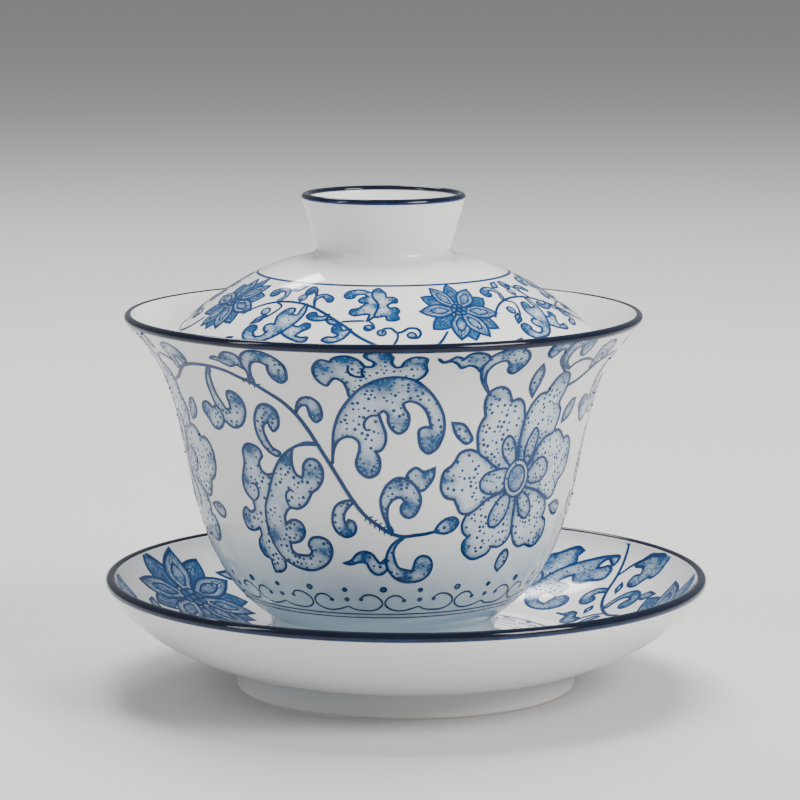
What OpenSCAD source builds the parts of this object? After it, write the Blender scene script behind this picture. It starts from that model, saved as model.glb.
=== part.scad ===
// Porcelain covered tea bowl: a saucer, a flared bowl that stands on it, and a lid with a cup knob.
// Millimetres, +Z up. The origin is at the middle of the saucer's foot, on the table.
// Each vessel is one turned and fired body, so each is one closed profile revolved about its axis.

/* [Saucer] */
// Outermost radius of the saucer's rim
saucer_rim_r = 57.5; // [52:0.5:66]
// Height of the saucer's rim above the table
saucer_h = 21.6; // [18:0.2:26]
// Radius of the rounded lip, half the wall's thickness at the rim
saucer_lip_r = 1; // [0.7:0.1:1.4]
// Slope of the wall where it meets the lip, from level
saucer_rim_slope = 64; // [50:1:75]
// Radius of the foot ring where it meets the dish
saucer_foot_top_r = 31.6; // [27:0.2:36]
// Radius of the foot ring on the table
saucer_foot_r = 32.5; // [28:0.5:38]
// Height of the foot ring
saucer_foot_h = 4.7; // [3:0.1:6]
// Width of the foot ring's resting face
saucer_foot_w = 2.4; // [1.5:0.1:4]
// Depth of the hollow inside the foot ring
saucer_recess = 3.8; // [2:0.1:5]
// Thickness of the dish at the foot ring
saucer_floor_t = 3.2; // [2.4:0.1:5]

/* [Bowl] */
// Outermost radius of the bowl's rim
bowl_rim_r = 49.1; // [44:0.5:58]
// Height of the bowl, foot to rim
bowl_h = 64; // [54:0.5:76]
// Radius of the rounded lip, half the wall's thickness at the rim
bowl_lip_r = 0.8; // [0.6:0.1:1.2]
// Slope of the flared wall where it meets the lip, from level
bowl_rim_slope = 46; // [35:1:60]
// Radius of the wall where the belly turns into the flare
bowl_waist_r = 38.5; // [34:0.5:44]
// Height of that place above the bowl's foot
bowl_waist_h = 41.6; // [34:0.5:48]
// Slope of the wall there, from level
bowl_waist_slope = 79; // [70:1:88]
// Radius of the foot where it meets the belly
bowl_foot_top_r = 21.7; // [18:0.2:26]
// Radius of the foot on the saucer
bowl_foot_r = 21.2; // [17:0.5:26]
// Height of the foot
bowl_foot_h = 6; // [4.5:0.1:8]
// Width of the foot's resting face
bowl_foot_w = 2.2; // [1.5:0.1:4]
// Depth of the hollow inside the foot
bowl_recess = 3.8; // [2:0.1:5]
// Thickness of the wall at the foot
bowl_wall_t = 3; // [2:0.1:4]
// Height of the bowl's inner floor above the bottom of its foot
bowl_floor_h = 7.4; // [6:0.1:9]
// How far the bowl stands off the saucer's middle
bowl_shift = 4.3; // [0:0.1:8]

/* [Lid] */
// Depth of the lid's edge below the top of the bowl's rim
lid_drop = 7; // [5:0.2:14]
// Rise of the dome from its edge to the knob
lid_rise = 17.7; // [14:0.1:22]
// Radius of the rounded edge, half the dome's thickness there
lid_lip_r = 0.8; // [0.6:0.1:1.2]
// Slope of the dome at its edge, from level
lid_edge_slope = 60; // [45:1:70]
// Thickness of the dome at the knob
lid_wall_t = 2.6; // [2:0.1:3.5]
// Gap between the lid's edge and the bowl's inner wall
lid_gap = 0.15; // [0.1:0.05:0.4]

/* [Knob] */
// Radius of the knob's waist
knob_waist_r = 12.7; // [10:0.1:15]
// Outermost radius of the knob's mouth
knob_mouth_r = 15.5; // [13:0.1:18]
// Height of the knob above the dome
knob_h = 11.8; // [8:0.1:15]
// Radius of the knob's rounded lip
knob_lip_r = 0.75; // [0.5:0.05:1]
// Radius of the fillet between the knob and the dome
knob_fillet = 1.6; // [0.8:0.1:3]
// Depth of the hollow in the knob
knob_depth = 9.2; // [6:0.1:12]
// Thickness of the knob's wall at its waist
knob_wall_t = 2; // [1.4:0.1:3]

/* [Hidden] */
$fn = 120;
steps = 22;          // points on a long curve
lip_steps = 10;      // points round a lip

porcelain = "white";

// ---- curves ----
// A point on the cubic curve from a to d with handles b and c
function bez(a, b, c, d, t) =
    pow(1 - t, 3) * a + 3 * pow(1 - t, 2) * t * b + 3 * (1 - t) * t * t * c + pow(t, 3) * d;
// The direction of that curve, one unit long
function bez_dir(a, b, c, d, t) =
    let (v = pow(1 - t, 2) * (b - a) + 2 * (1 - t) * t * (c - b) + t * t * (d - c)) v / norm(v);
// The direction at an angle from level
function slope(angle) = [cos(angle), sin(angle)];
// The same direction turned a quarter to the left, which is into the wall on an outer curve
function left(v) = [-v[1], v[0]];
// The points of a curve from share t0 to t1
function curve(k, t0 = 0, t1 = 1, n = steps) =
    [for (i = [0:n]) bez(k[0], k[1], k[2], k[3], t0 + (t1 - t0) * i / n)];
// The same, set into the wall by a thickness that goes from w0 to w1 over the whole curve
function inset(k, w0, w1, t0 = 0, t1 = 1, n = steps) =
    [for (i = [0:n])
        let (t = t0 + (t1 - t0) * i / n)
        bez(k[0], k[1], k[2], k[3], t)
            + (w0 + (w1 - w0) * t) * left(bez_dir(k[0], k[1], k[2], k[3], t))];
// Points round a circle between two angles
function arc(c, r, a0, a1, n = lip_steps) = [for (i = [0:n]) c + r * slope(a0 + (a1 - a0) * i / n)];
function reversed(list) = [for (i = [len(list) - 1:-1:0]) list[i]];
// All but the first and last of a list, where its neighbours already hold those points
function middle(list) = [for (i = [1:len(list) - 2]) list[i]];

// How far each curve runs on straight at its ends before it bends: the handles of its cubic
saucer_foot_handle = 6;
saucer_rim_handle = 10.4;
bowl_foot_handle = 13.7;
bowl_foot_slope = 33;      // slope of the belly where it leaves the foot
bowl_belly_handle = 17.6;
bowl_flare_handle = 10.4;
bowl_rim_handle = 8.2;
lid_edge_handle = 7.5;
lid_crown_handle = [9.4, -1.2];

// ---- saucer ----
saucer_lip = [saucer_rim_r - saucer_lip_r, saucer_h - saucer_lip_r];
saucer_dish_start = [saucer_foot_top_r, saucer_foot_h];
saucer_dish_end = saucer_lip - saucer_lip_r * left(slope(saucer_rim_slope));
saucer_dish = [
    saucer_dish_start,
    saucer_dish_start + [saucer_foot_handle, 0],
    saucer_dish_end - saucer_rim_handle * slope(saucer_rim_slope),
    saucer_dish_end
];
saucer_well_h = saucer_foot_h + saucer_floor_t;

// ---- bowl, in heights above its own foot ----
bowl_lip = [bowl_rim_r - bowl_lip_r, bowl_h - bowl_lip_r];
bowl_waist = [bowl_waist_r, bowl_waist_h];
bowl_belly = [
    [bowl_foot_top_r, bowl_foot_h],
    [bowl_foot_top_r, bowl_foot_h] + bowl_foot_handle * slope(bowl_foot_slope),
    bowl_waist - bowl_belly_handle * slope(bowl_waist_slope),
    bowl_waist
];
bowl_flare_end = bowl_lip - bowl_lip_r * left(slope(bowl_rim_slope));
bowl_flare = [
    bowl_waist,
    bowl_waist + bowl_flare_handle * slope(bowl_waist_slope),
    bowl_flare_end - bowl_rim_handle * slope(bowl_rim_slope),
    bowl_flare_end
];
bowl_waist_t = (bowl_wall_t + 4 * bowl_lip_r) / 3;  // a third of the way from rim to foot
bowl_inner_start = 0.16;   // share of the belly's curve where the inner floor takes over
bowl_floor_flat = 10;      // radius of the nearly flat middle of the inner floor
bowl_floor_handle = 6;
bowl_inner_flare = inset(bowl_flare, bowl_waist_t, 2 * bowl_lip_r);
bowl_inner_belly = inset(bowl_belly, bowl_wall_t, bowl_waist_t, bowl_inner_start);
bowl_floor_curve = [
    [0, bowl_floor_h],
    [bowl_floor_flat, bowl_floor_h],
    bowl_inner_belly[0] - bowl_floor_handle
        * bez_dir(bowl_belly[0], bowl_belly[1], bowl_belly[2], bowl_belly[3], bowl_inner_start),
    bowl_inner_belly[0]
];

// ---- lid, in heights above the bowl's foot ----
lid_seat_h = bowl_h - lid_drop;
inner_wall = [for (p = concat(bowl_inner_belly, bowl_inner_flare)) [p[1], p[0]]];
inner_lean = (lookup(lid_seat_h + 1, inner_wall) - lookup(lid_seat_h - 1, inner_wall)) / 2;
lid_edge_c = [
    lookup(lid_seat_h, inner_wall) - (lid_lip_r + lid_gap) * sqrt(1 + inner_lean * inner_lean),
    lid_seat_h
];
lid_top = [knob_waist_r + knob_fillet, lid_seat_h + lid_rise];
lid_edge_dir = slope(180 - lid_edge_slope);
lid_dome_start = lid_edge_c - lid_lip_r * left(lid_edge_dir);
lid_dome = [
    lid_dome_start,
    lid_dome_start + lid_edge_handle * lid_edge_dir,
    lid_top + lid_crown_handle,
    lid_top
];
lid_inner = inset(lid_dome, 2 * lid_lip_r, lid_wall_t);
lid_ceiling_rise = 0.9;    // rise of the ceiling under the knob
lid_ceiling_handle = 5;
lid_ceiling = [
    lid_inner[steps],
    lid_inner[steps] + lid_ceiling_handle * [-1, 0.12],
    [lid_ceiling_handle, lid_inner[steps][1] + lid_ceiling_rise],
    [0, lid_inner[steps][1] + lid_ceiling_rise]
];

// ---- knob ----
knob_top_h = lid_top[1] + knob_h;
knob_lip = [knob_mouth_r - knob_lip_r, knob_top_h - knob_lip_r];
knob_base = [knob_waist_r, lid_top[1] + knob_fillet];
knob_lean = atan2(knob_lip[1] - knob_base[1], knob_lip[0] + knob_lip_r - knob_base[0]);
knob_bottom = knob_top_h - knob_depth;
knob_bottom_r = knob_waist_r - knob_wall_t;

// ---- pieces ----
module revolve(profile) {
    rotate_extrude() polygon(profile);
}

// Foot ring, dish and lip, fired as one body
module saucer() {
    outer = curve(saucer_dish);
    inner = reversed(inset(saucer_dish, saucer_floor_t, 2 * saucer_lip_r));
    lip = arc(saucer_lip, saucer_lip_r, saucer_rim_slope - 90, saucer_rim_slope + 90);
    round = 0.6;   // rounding of the foot's outer edge
    batter = 0.8;  // how far the foot's inner face leans in towards the recess
    color(porcelain) revolve(concat(
        [[0, saucer_recess], [saucer_foot_r - saucer_foot_w - round - batter, saucer_recess]],
        [[saucer_foot_r - saucer_foot_w - round, 0]],
        arc([saucer_foot_r - round, round], round, -90, 0, 5),
        outer,
        middle(lip),
        inner,
        [[0, saucer_well_h]]
    ));
}

// Foot, belly, flare and lip, fired as one body
module bowl() {
    lip = arc(bowl_lip, bowl_lip_r, bowl_rim_slope - 90, bowl_rim_slope + 90);
    round = 0.5;   // rounding of the foot's outer edge
    batter = 0.7;  // how far the foot's inner face leans in towards the recess
    color(porcelain) translate([-bowl_shift, 0, saucer_well_h]) revolve(concat(
        [[0, bowl_recess], [bowl_foot_r - bowl_foot_w - round - batter, bowl_recess]],
        [[bowl_foot_r - bowl_foot_w - round, 0]],
        arc([bowl_foot_r - round, round], round, -90, 0, 5),
        curve(bowl_belly),
        middle(curve(bowl_flare)),
        lip,
        middle(reversed(bowl_inner_flare)),
        reversed(bowl_inner_belly),
        middle(reversed(curve(bowl_floor_curve))),
        [[0, bowl_floor_h]]
    ));
}

// Dome, edge and cup knob, fired as one body
module lid() {
    edge = arc(lid_edge_c, lid_lip_r, -90 - lid_edge_slope, 90 - lid_edge_slope);
    fillet = arc([knob_waist_r + knob_fillet, knob_base[1]], knob_fillet, 270, 180, 6);
    lip = arc(knob_lip, knob_lip_r, knob_lean - 90, 180);
    cup_round = 3;  // rounding at the bottom of the knob's hollow
    color(porcelain) translate([-bowl_shift, 0, saucer_well_h]) revolve(concat(
        reversed(middle(curve(lid_ceiling))),
        reversed(lid_inner),
        middle(edge),
        curve(lid_dome),
        middle(fillet),
        [knob_base],
        lip,
        arc([knob_bottom_r - cup_round, knob_bottom + cup_round], cup_round, 0, -90, 6),
        [[0, knob_bottom]],
        [[0, lid_ceiling[3][1]]]
    ));
}

saucer();
bowl();
lid();
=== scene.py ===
# Covered tea bowl on a saucer: white porcelain with blue lotus scrolls under the glaze.
import math

import bpy
import numpy as np
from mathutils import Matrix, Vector
from mathutils.geometry import delaunay_2d_cdt


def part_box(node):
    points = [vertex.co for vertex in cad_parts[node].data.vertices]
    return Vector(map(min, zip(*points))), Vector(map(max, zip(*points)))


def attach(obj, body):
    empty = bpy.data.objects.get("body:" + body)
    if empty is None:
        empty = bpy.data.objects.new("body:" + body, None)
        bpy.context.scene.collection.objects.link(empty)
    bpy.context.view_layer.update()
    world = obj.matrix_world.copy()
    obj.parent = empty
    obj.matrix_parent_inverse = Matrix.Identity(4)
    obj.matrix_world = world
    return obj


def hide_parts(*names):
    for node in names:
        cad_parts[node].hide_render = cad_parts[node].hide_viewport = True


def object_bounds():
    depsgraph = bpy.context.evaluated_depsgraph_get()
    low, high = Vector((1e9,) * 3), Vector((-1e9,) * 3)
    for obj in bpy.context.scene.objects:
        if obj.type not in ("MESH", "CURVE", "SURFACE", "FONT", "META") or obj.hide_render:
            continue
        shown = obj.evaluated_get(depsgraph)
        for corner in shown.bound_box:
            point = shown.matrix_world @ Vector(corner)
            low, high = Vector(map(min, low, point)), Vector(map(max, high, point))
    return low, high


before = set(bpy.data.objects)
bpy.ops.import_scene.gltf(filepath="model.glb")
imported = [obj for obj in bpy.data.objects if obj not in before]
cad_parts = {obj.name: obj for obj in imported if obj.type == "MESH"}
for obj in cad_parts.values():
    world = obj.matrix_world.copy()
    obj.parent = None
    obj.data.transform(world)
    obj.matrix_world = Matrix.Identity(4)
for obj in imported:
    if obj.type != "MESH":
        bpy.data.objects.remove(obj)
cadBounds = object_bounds()
print("frame loaded")

mm = 0.001

# camera
view = dict(distance=704.3, rise=9.286, aimHeight=45.0, lens=166.0, shiftX=0.0206, shiftY=0.0635)
bowlLow, bowlHigh = (np.array(corner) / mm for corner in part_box("bowl"))
bowlX = (bowlLow[0] + bowlHigh[0]) / 2  # the bowl stands a little off the saucer's middle
bowlZ = bowlLow[2]


def linked(name, data):
    made = bpy.data.objects.new(name, data)
    bpy.context.scene.collection.objects.link(made)
    return made


def makeCamera():
    rise = math.radians(view["rise"])
    camera = linked("viewCamera", bpy.data.cameras.new("viewCamera"))
    away = Vector((0, -math.cos(rise), math.sin(rise))) * view["distance"] * mm
    camera.location = Vector((bowlX * mm, 0, view["aimHeight"] * mm)) + away
    camera.rotation_euler = (-away).to_track_quat("-Z", "Y").to_euler()
    camera.data.lens = view["lens"]
    camera.data.sensor_width = 36
    camera.data.shift_x = view["shiftX"]
    camera.data.shift_y = view["shiftY"]
    camera.data.clip_start = 0.01
    bpy.context.scene.camera = camera


makeCamera()


# node helpers
# a shader socket that takes part in plain Python sums
class Wire:
    def __init__(self, shader, socket):
        self.shader, self.socket = shader, socket

    def mathNode(self, how, a, b=0.0):
        return self.shader.node("ShaderNodeMath", dict(operation=how), {0: a, 1: b})

    def __add__(self, other):
        return self.mathNode("ADD", self, other)

    def __sub__(self, other):
        return self.mathNode("SUBTRACT", self, other)

    def __rsub__(self, other):
        return self.mathNode("SUBTRACT", other, self)

    def __mul__(self, other):
        return self.mathNode("MULTIPLY", self, other)

    __radd__ = __add__
    __rmul__ = __mul__


# one material's node tree, with a Principled shader at its end
class Shader:
    def __init__(self, name, settings):
        self.material = bpy.data.materials.new(name)
        self.material.use_nodes = True
        self.tree = self.material.node_tree
        self.base = self.tree.nodes["Principled BSDF"]
        for socket, value in settings.items():
            self.base.inputs[socket].default_value = value

    def node(self, kind, settings=None, sockets=None, out=0):
        made = self.tree.nodes.new(kind)
        for name, value in (settings or {}).items():
            setattr(made, name, value)
        for name, value in (sockets or {}).items():
            if isinstance(value, Wire):
                self.tree.links.new(value.socket, made.inputs[name])
            else:
                made.inputs[name].default_value = value
        return Wire(self, made.outputs[out])

    def attribute(self, name):
        return self.node("ShaderNodeAttribute", dict(attribute_name=name), out="Fac")

    def noise(self, scale, detail=2.0):
        place = self.node("ShaderNodeTexCoord", out="Object")
        return self.node("ShaderNodeTexNoise", None, {"Vector": place, "Scale": scale, "Detail": detail})

    def mix(self, share, a, b):
        return self.node("ShaderNodeMix", dict(data_type="RGBA"), {0: share, 6: a, 7: b}, out=2)

    def clamp(self, value):
        return self.node("ShaderNodeClamp", None, {0: value})

    def ripple(self, height):
        sockets = {"Height": height, "Strength": glaze["ripple"], "Distance": glaze["rippleDepth"]}
        self.feed("Normal", self.node("ShaderNodeBump", None, sockets))

    def feed(self, socket, value):
        self.tree.links.new(value.socket, self.base.inputs[socket])
        return self


def rgb(r, g, b):
    return (r, g, b, 1.0)


glaze = dict(
    ripple=0.12,
    rippleDepth=0.0004,
    white=rgb(0.80, 0.80, 0.785),
    blueTint=rgb(0.40, 0.57, 0.68),
    bareClay=rgb(0.62, 0.56, 0.48),
    clayGrain=rgb(0.74, 0.69, 0.62),
    lineDark=rgb(0.002, 0.015, 0.062),
    lineLight=rgb(0.008, 0.048, 0.160),
    washPale=rgb(0.62, 0.70, 0.755),
    washDeep=rgb(0.016, 0.095, 0.235),
    bandDark=rgb(0.003, 0.004, 0.009),
    bandBlue=rgb(0.008, 0.020, 0.065),
    bandEdge=rgb(0.010, 0.036, 0.13),
    dotDark=rgb(0.004, 0.025, 0.09),
    dotLight=rgb(0.02, 0.085, 0.22),
)
glossy = {"Roughness": 0.1, "IOR": 1.42}


def glazed(shader):
    # the faint waviness of a dipped glaze, which breaks up the highlights
    broad = shader.noise(60, 1)
    fine = shader.noise(900, 2)
    shader.ripple(broad + fine * 0.06)
    shader.feed("Roughness", shader.noise(140, 3) * 0.06 + 0.065)
    return shader.material


def porcelainMaterial():
    # tint holds how thickly the glaze pooled, bare where a foot was wiped clean of it
    shader = Shader("whitePorcelain", glossy)
    cloud = shader.noise(35, 3)
    tint = shader.clamp(shader.attribute("tint") + (cloud - 0.5) * 0.12)
    colour = shader.mix(tint, glaze["white"], glaze["blueTint"])
    bare = shader.attribute("bare")
    grain = shader.noise(2500, 3)
    clay = shader.mix(grain, glaze["bareClay"], glaze["clayGrain"])
    shader.feed("Base Color", shader.mix(bare, colour, clay))
    broad = shader.noise(60, 1)
    shader.ripple(broad + grain * bare * 0.6)
    shader.feed("Roughness", shader.clamp(shader.noise(140, 3) * 0.06 + 0.065 + bare * 0.6))
    return shader.material


def lineMaterial():
    shader = Shader("cobaltLine", glossy)
    strength = shader.clamp(shader.noise(260, 3) * 1.5 - 0.25 + shader.attribute("tone") * 0.5)
    shader.feed("Base Color", shader.mix(strength, glaze["lineDark"], glaze["lineLight"]))
    return glazed(shader)


def washMaterial():
    # tone is deeper where the brush was loaded, at the edges and tips
    shader = Shader("cobaltWash", glossy)
    streak = shader.noise(420, 4) + shader.noise(1700, 3)
    laid = shader.attribute("tone")
    tone = shader.clamp(laid + (streak - 1.0) * (laid * 0.9 + 0.18))
    shader.feed("Base Color", shader.mix(tone, glaze["washPale"], glaze["washDeep"]))
    return glazed(shader)


def dotMaterial():
    shader = Shader("cobaltDots", glossy)
    shader.feed("Base Color", shader.mix(shader.noise(300, 2), glaze["dotDark"], glaze["dotLight"]))
    return glazed(shader)


def bandMaterial():
    # across runs from 0 inside the rim to 1 at the outer edge, where the blue shows
    shader = Shader("rimBand", glossy)
    across = shader.attribute("across")
    mottle = shader.noise(330, 4)
    edge = shader.clamp((across + mottle * 0.22 - 0.90) * 7.0)
    body = shader.mix(mottle * 0.5, glaze["bandDark"], glaze["bandBlue"])
    shader.feed("Base Color", shader.mix(edge, body, glaze["bandEdge"]))
    return glazed(shader)


# curves and turned shapes, in millimetres
def slope(angle):
    return np.array([math.cos(math.radians(angle)), math.sin(math.radians(angle))])


def left(v):
    return np.array([-v[1], v[0]])


def bezier(a, b, c, d, count=60, start=0.0, end=1.0):
    t = np.linspace(start, end, count)[:, None]
    a, b, c, d = (np.array(p, float) for p in (a, b, c, d))
    return (1 - t) ** 3 * a + 3 * (1 - t) ** 2 * t * b + 3 * (1 - t) * t * t * c + t ** 3 * d


def arc(centre, radius, start, end, count=10):
    angles = np.radians(np.linspace(start, end, count))
    return np.array(centre) + radius * np.stack([np.cos(angles), np.sin(angles)], 1)


def directions(points):
    step = np.gradient(points, axis=0)
    return step / np.maximum(np.linalg.norm(step, axis=1), 1e-9)[:, None]


def inset(points, first, last):
    # each point moved to the left of its direction by a thickness that goes from first to last
    way = directions(points)
    thick = np.linspace(first, last, len(points))[:, None]
    return points + thick * np.stack([-way[:, 1], way[:, 0]], 1)


def along(points):
    return np.r_[0, np.cumsum(np.linalg.norm(np.diff(points, axis=0), axis=1))]


saucer = dict(rimR=57.5, height=21.6, lipR=1.0, rimSlope=64, footTopR=31.6, footR=32.5, footH=4.7,
              footW=2.4, recess=3.8, floorT=3.2, footHandle=6, rimHandle=10.4, round=0.6, batter=0.8)
bowl = dict(rimR=49.1, height=64.0, lipR=0.8, rimSlope=46, waistR=38.5, waistH=41.6, waistSlope=79,
            footTopR=21.7, footR=21.2, footH=6.0, footW=2.2, recess=3.8, wallT=3.0, floorH=7.4,
            round=0.5, batter=0.7, footSlope=33, footHandle=13.7, bellyHandle=17.6, flareHandle=10.4,
            rimHandle=8.2, floorR=10, floorHandle=6, floorStart=16)
lid = dict(seat=57.0, rise=17.7, lipR=0.8, edgeSlope=60, wallT=2.6, gap=0.15, waistR=12.7, mouthR=15.5,
           knobH=11.8, knobLipR=0.75, fillet=1.6, knobDepth=9.2, knobWall=2.0, cupRound=3.0,
           edgeHandle=7.5, topHandle=(9.4, -1.2))


def rimOf(size):
    # the middle of the lip's round, and the point where the outside meets it
    lip = np.array([size["rimR"] - size["lipR"], size["height"] - size["lipR"]])
    return lip, lip - size["lipR"] * left(slope(size["rimSlope"]))


def lipArc(size, lip, past=180, count=14):
    # round the lip from the outside, by as many degrees as past says
    first = size["rimSlope"] - 90
    return arc(lip, size["lipR"], first, first + past, count)


def saucerCurves(size):
    lip, end = rimOf(size)
    start = np.array([size["footTopR"], size["footH"]])
    handle = end - size["rimHandle"] * slope(size["rimSlope"])
    outer = bezier(start, start + [size["footHandle"], 0], handle, end, 120)
    inner = inset(outer, size["floorT"], 2 * size["lipR"])
    inner[0] = [size["footTopR"], size["footH"] + size["floorT"]]
    return outer, inner, lip


def bowlCurves(size):
    lip, end = rimOf(size)
    waist = np.array([size["waistR"], size["waistH"]])
    waistWay = slope(size["waistSlope"])
    start = np.array([size["footTopR"], size["footH"]])
    footEnd = start + size["footHandle"] * slope(size["footSlope"])
    belly = bezier(start, footEnd, waist - size["bellyHandle"] * waistWay, waist, 100)
    rimEnd = end - size["rimHandle"] * slope(size["rimSlope"])
    flare = bezier(waist, waist + size["flareHandle"] * waistWay, rimEnd, end, 70)
    waistT = (size["wallT"] + 4 * size["lipR"]) / 3
    innerBelly = inset(belly, size["wallT"], waistT)[size["floorStart"]:]
    innerFlare = inset(flare, waistT, 2 * size["lipR"])
    floorEnd = innerBelly[0] - size["floorHandle"] * directions(belly)[size["floorStart"]]
    floor = bezier([0, size["floorH"]], [size["floorR"], size["floorH"]], floorEnd, innerBelly[0], 50)
    return np.vstack([belly, flare[1:]]), np.vstack([floor, innerBelly[1:], innerFlare[1:]]), lip


bowlOuter, bowlInner, bowlLip = bowlCurves(bowl)
saucerOuter, saucerInner, saucerLip = saucerCurves(saucer)


def lidCurves(size, bowlWall):
    # the lid sits where its edge clears the inside of the bowl by the gap
    seat = size["seat"]
    below, at, above = np.interp([seat - 1, seat, seat + 1], bowlWall[:, 1], bowlWall[:, 0])
    lean = (above - below) / 2
    edge = np.array([at - (size["lipR"] + size["gap"]) * math.hypot(1, lean), seat])
    way = slope(180 - size["edgeSlope"])
    start = edge - size["lipR"] * left(way)
    top = np.array([size["waistR"] + size["fillet"], seat + size["rise"]])
    dome = bezier(start, start + size["edgeHandle"] * way, top + size["topHandle"], top, 140)
    under = inset(dome, 2 * size["lipR"], size["wallT"])
    high = under[-1][1] + 0.9
    ceiling = bezier(under[-1], under[-1] + [-5, 0.6], [5, high], [0, high], 30)
    return dome, under, ceiling, edge, top


lidDome, lidUnder, lidCeiling, lidEdge, lidTop = lidCurves(lid, bowlInner)


# a surface of revolution that the painting is laid on, by distance up its profile and angle
class Turned:
    def __init__(self, profile, centreX, baseZ, refR=None):
        self.profile = profile + np.array([0, baseZ])
        self.centreX, self.refR = centreX, refR
        self.run = along(profile)
        way = directions(profile)
        self.normal = np.stack([way[:, 1], -way[:, 0]], 1)
        if refR is None:
            self.normal = -self.normal

    def lay(self, flat, lift):
        # flat is a list of x, y on the drawing: unrolled at refR, or seen from above where refR is None
        if self.refR is None:
            radius = np.hypot(flat[:, 0], flat[:, 1])
            angle = np.arctan2(flat[:, 0], -flat[:, 1])
            keys, at = self.profile[:, 0], radius
        else:
            angle = flat[:, 0] / self.refR
            keys, at = self.run, flat[:, 1]
        r = np.interp(at, keys, self.profile[:, 0])
        if self.refR is None:
            r = radius
        z = np.interp(at, keys, self.profile[:, 1])
        nr = np.interp(at, keys, self.normal[:, 0])
        nz = np.interp(at, keys, self.normal[:, 1])
        size = np.hypot(nr, nz)
        nr, nz = nr / size, nz / size
        out = r + nr * lift
        point = np.stack([self.centreX + out * np.sin(angle), -out * np.cos(angle), z + nz * lift], 1)
        normal = np.stack([nr * np.sin(angle), -nr * np.cos(angle), nz], 1)
        return point, normal


# drawing on a surface
def readPath(text):
    # "x,y x,y | x,y": a bar makes the point before it a corner
    points, corners = [], []
    for word in text.split():
        if word == "|":
            corners.append(len(points) - 1)
        else:
            points.append([float(v) for v in word.split(",")])
    return np.array(points), corners


def smoothRun(points, step, closed=False):
    # a curve through the points whose tangents are weighted by the lengths either side
    if len(points) < 3 and not closed:
        count = max(2, int(np.linalg.norm(points[1] - points[0]) / step) + 1)
        return points[0] + np.linspace(0, 1, count)[:, None] * (points[1] - points[0])
    if closed:
        ring = np.vstack([points[-1:], points, points[:2]])
    else:
        ring = np.vstack([2 * points[:1] - points[1:2], points, 2 * points[-1:] - points[-2:-1]])
    gap = np.maximum(np.linalg.norm(np.diff(ring, axis=0), axis=1), 1e-6)[:, None]
    slopes = np.diff(ring, axis=0) / gap
    tangent = (slopes[:-1] * gap[1:] + slopes[1:] * gap[:-1]) / (gap[1:] + gap[:-1])
    out = []
    for i in range(len(tangent) - 1):
        a, b, size = ring[i + 1], ring[i + 2], gap[i + 1]
        t = np.linspace(0, 1, max(2, int(size[0] / step) + 1), endpoint=False)[:, None]
        out.append((2 * t ** 3 - 3 * t ** 2 + 1) * a + (t ** 3 - 2 * t ** 2 + t) * size * tangent[i]
                   + (3 * t ** 2 - 2 * t ** 3) * b + (t ** 3 - t ** 2) * size * tangent[i + 1])
    if not closed:
        out.append(ring[-2:-1])
    return np.vstack(out)


def strokeOf(text, closed=False, step=0.45, change=None):
    points, corners = readPath(text)
    if change is not None:
        points = change(points)
    if closed and not corners:
        return smoothRun(points, step, True)
    if closed:
        points = np.vstack([np.roll(points, -corners[0], axis=0), points[corners[0]]])
        corners = [c - corners[0] for c in corners[1:]]
    cuts = [0] + corners + [len(points) - 1]
    runs = [smoothRun(points[a:b + 1], step) for a, b in zip(cuts[:-1], cuts[1:]) if b > a]
    line = np.vstack([run[:-1] for run in runs] + [runs[-1][-1:]])
    return line[:-1] if closed else line


def insideOf(outline, points):
    inside = np.zeros(len(points), bool)
    for a, b in zip(outline, np.roll(outline, -1, axis=0)):
        crosses = (a[1] > points[:, 1]) != (b[1] > points[:, 1])
        rise = b[1] - a[1] if b[1] != a[1] else 1e-9
        inside ^= crosses & (points[:, 0] < (b[0] - a[0]) * (points[:, 1] - a[1]) / rise + a[0])
    return inside


def nearest(points, line):
    best = np.full(len(points), 1e9)
    for start in range(0, len(line), 64):
        part = line[start:start + 64]
        best = np.minimum(best, np.linalg.norm(points[:, None] - part[None], axis=2).min(1))
    return best


# heights over the glaze of the first layer, of each one above it and of its outline
layer = dict(base=0.015, step=0.02, line=0.012, sink=0.05, grid=0.75)


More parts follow.
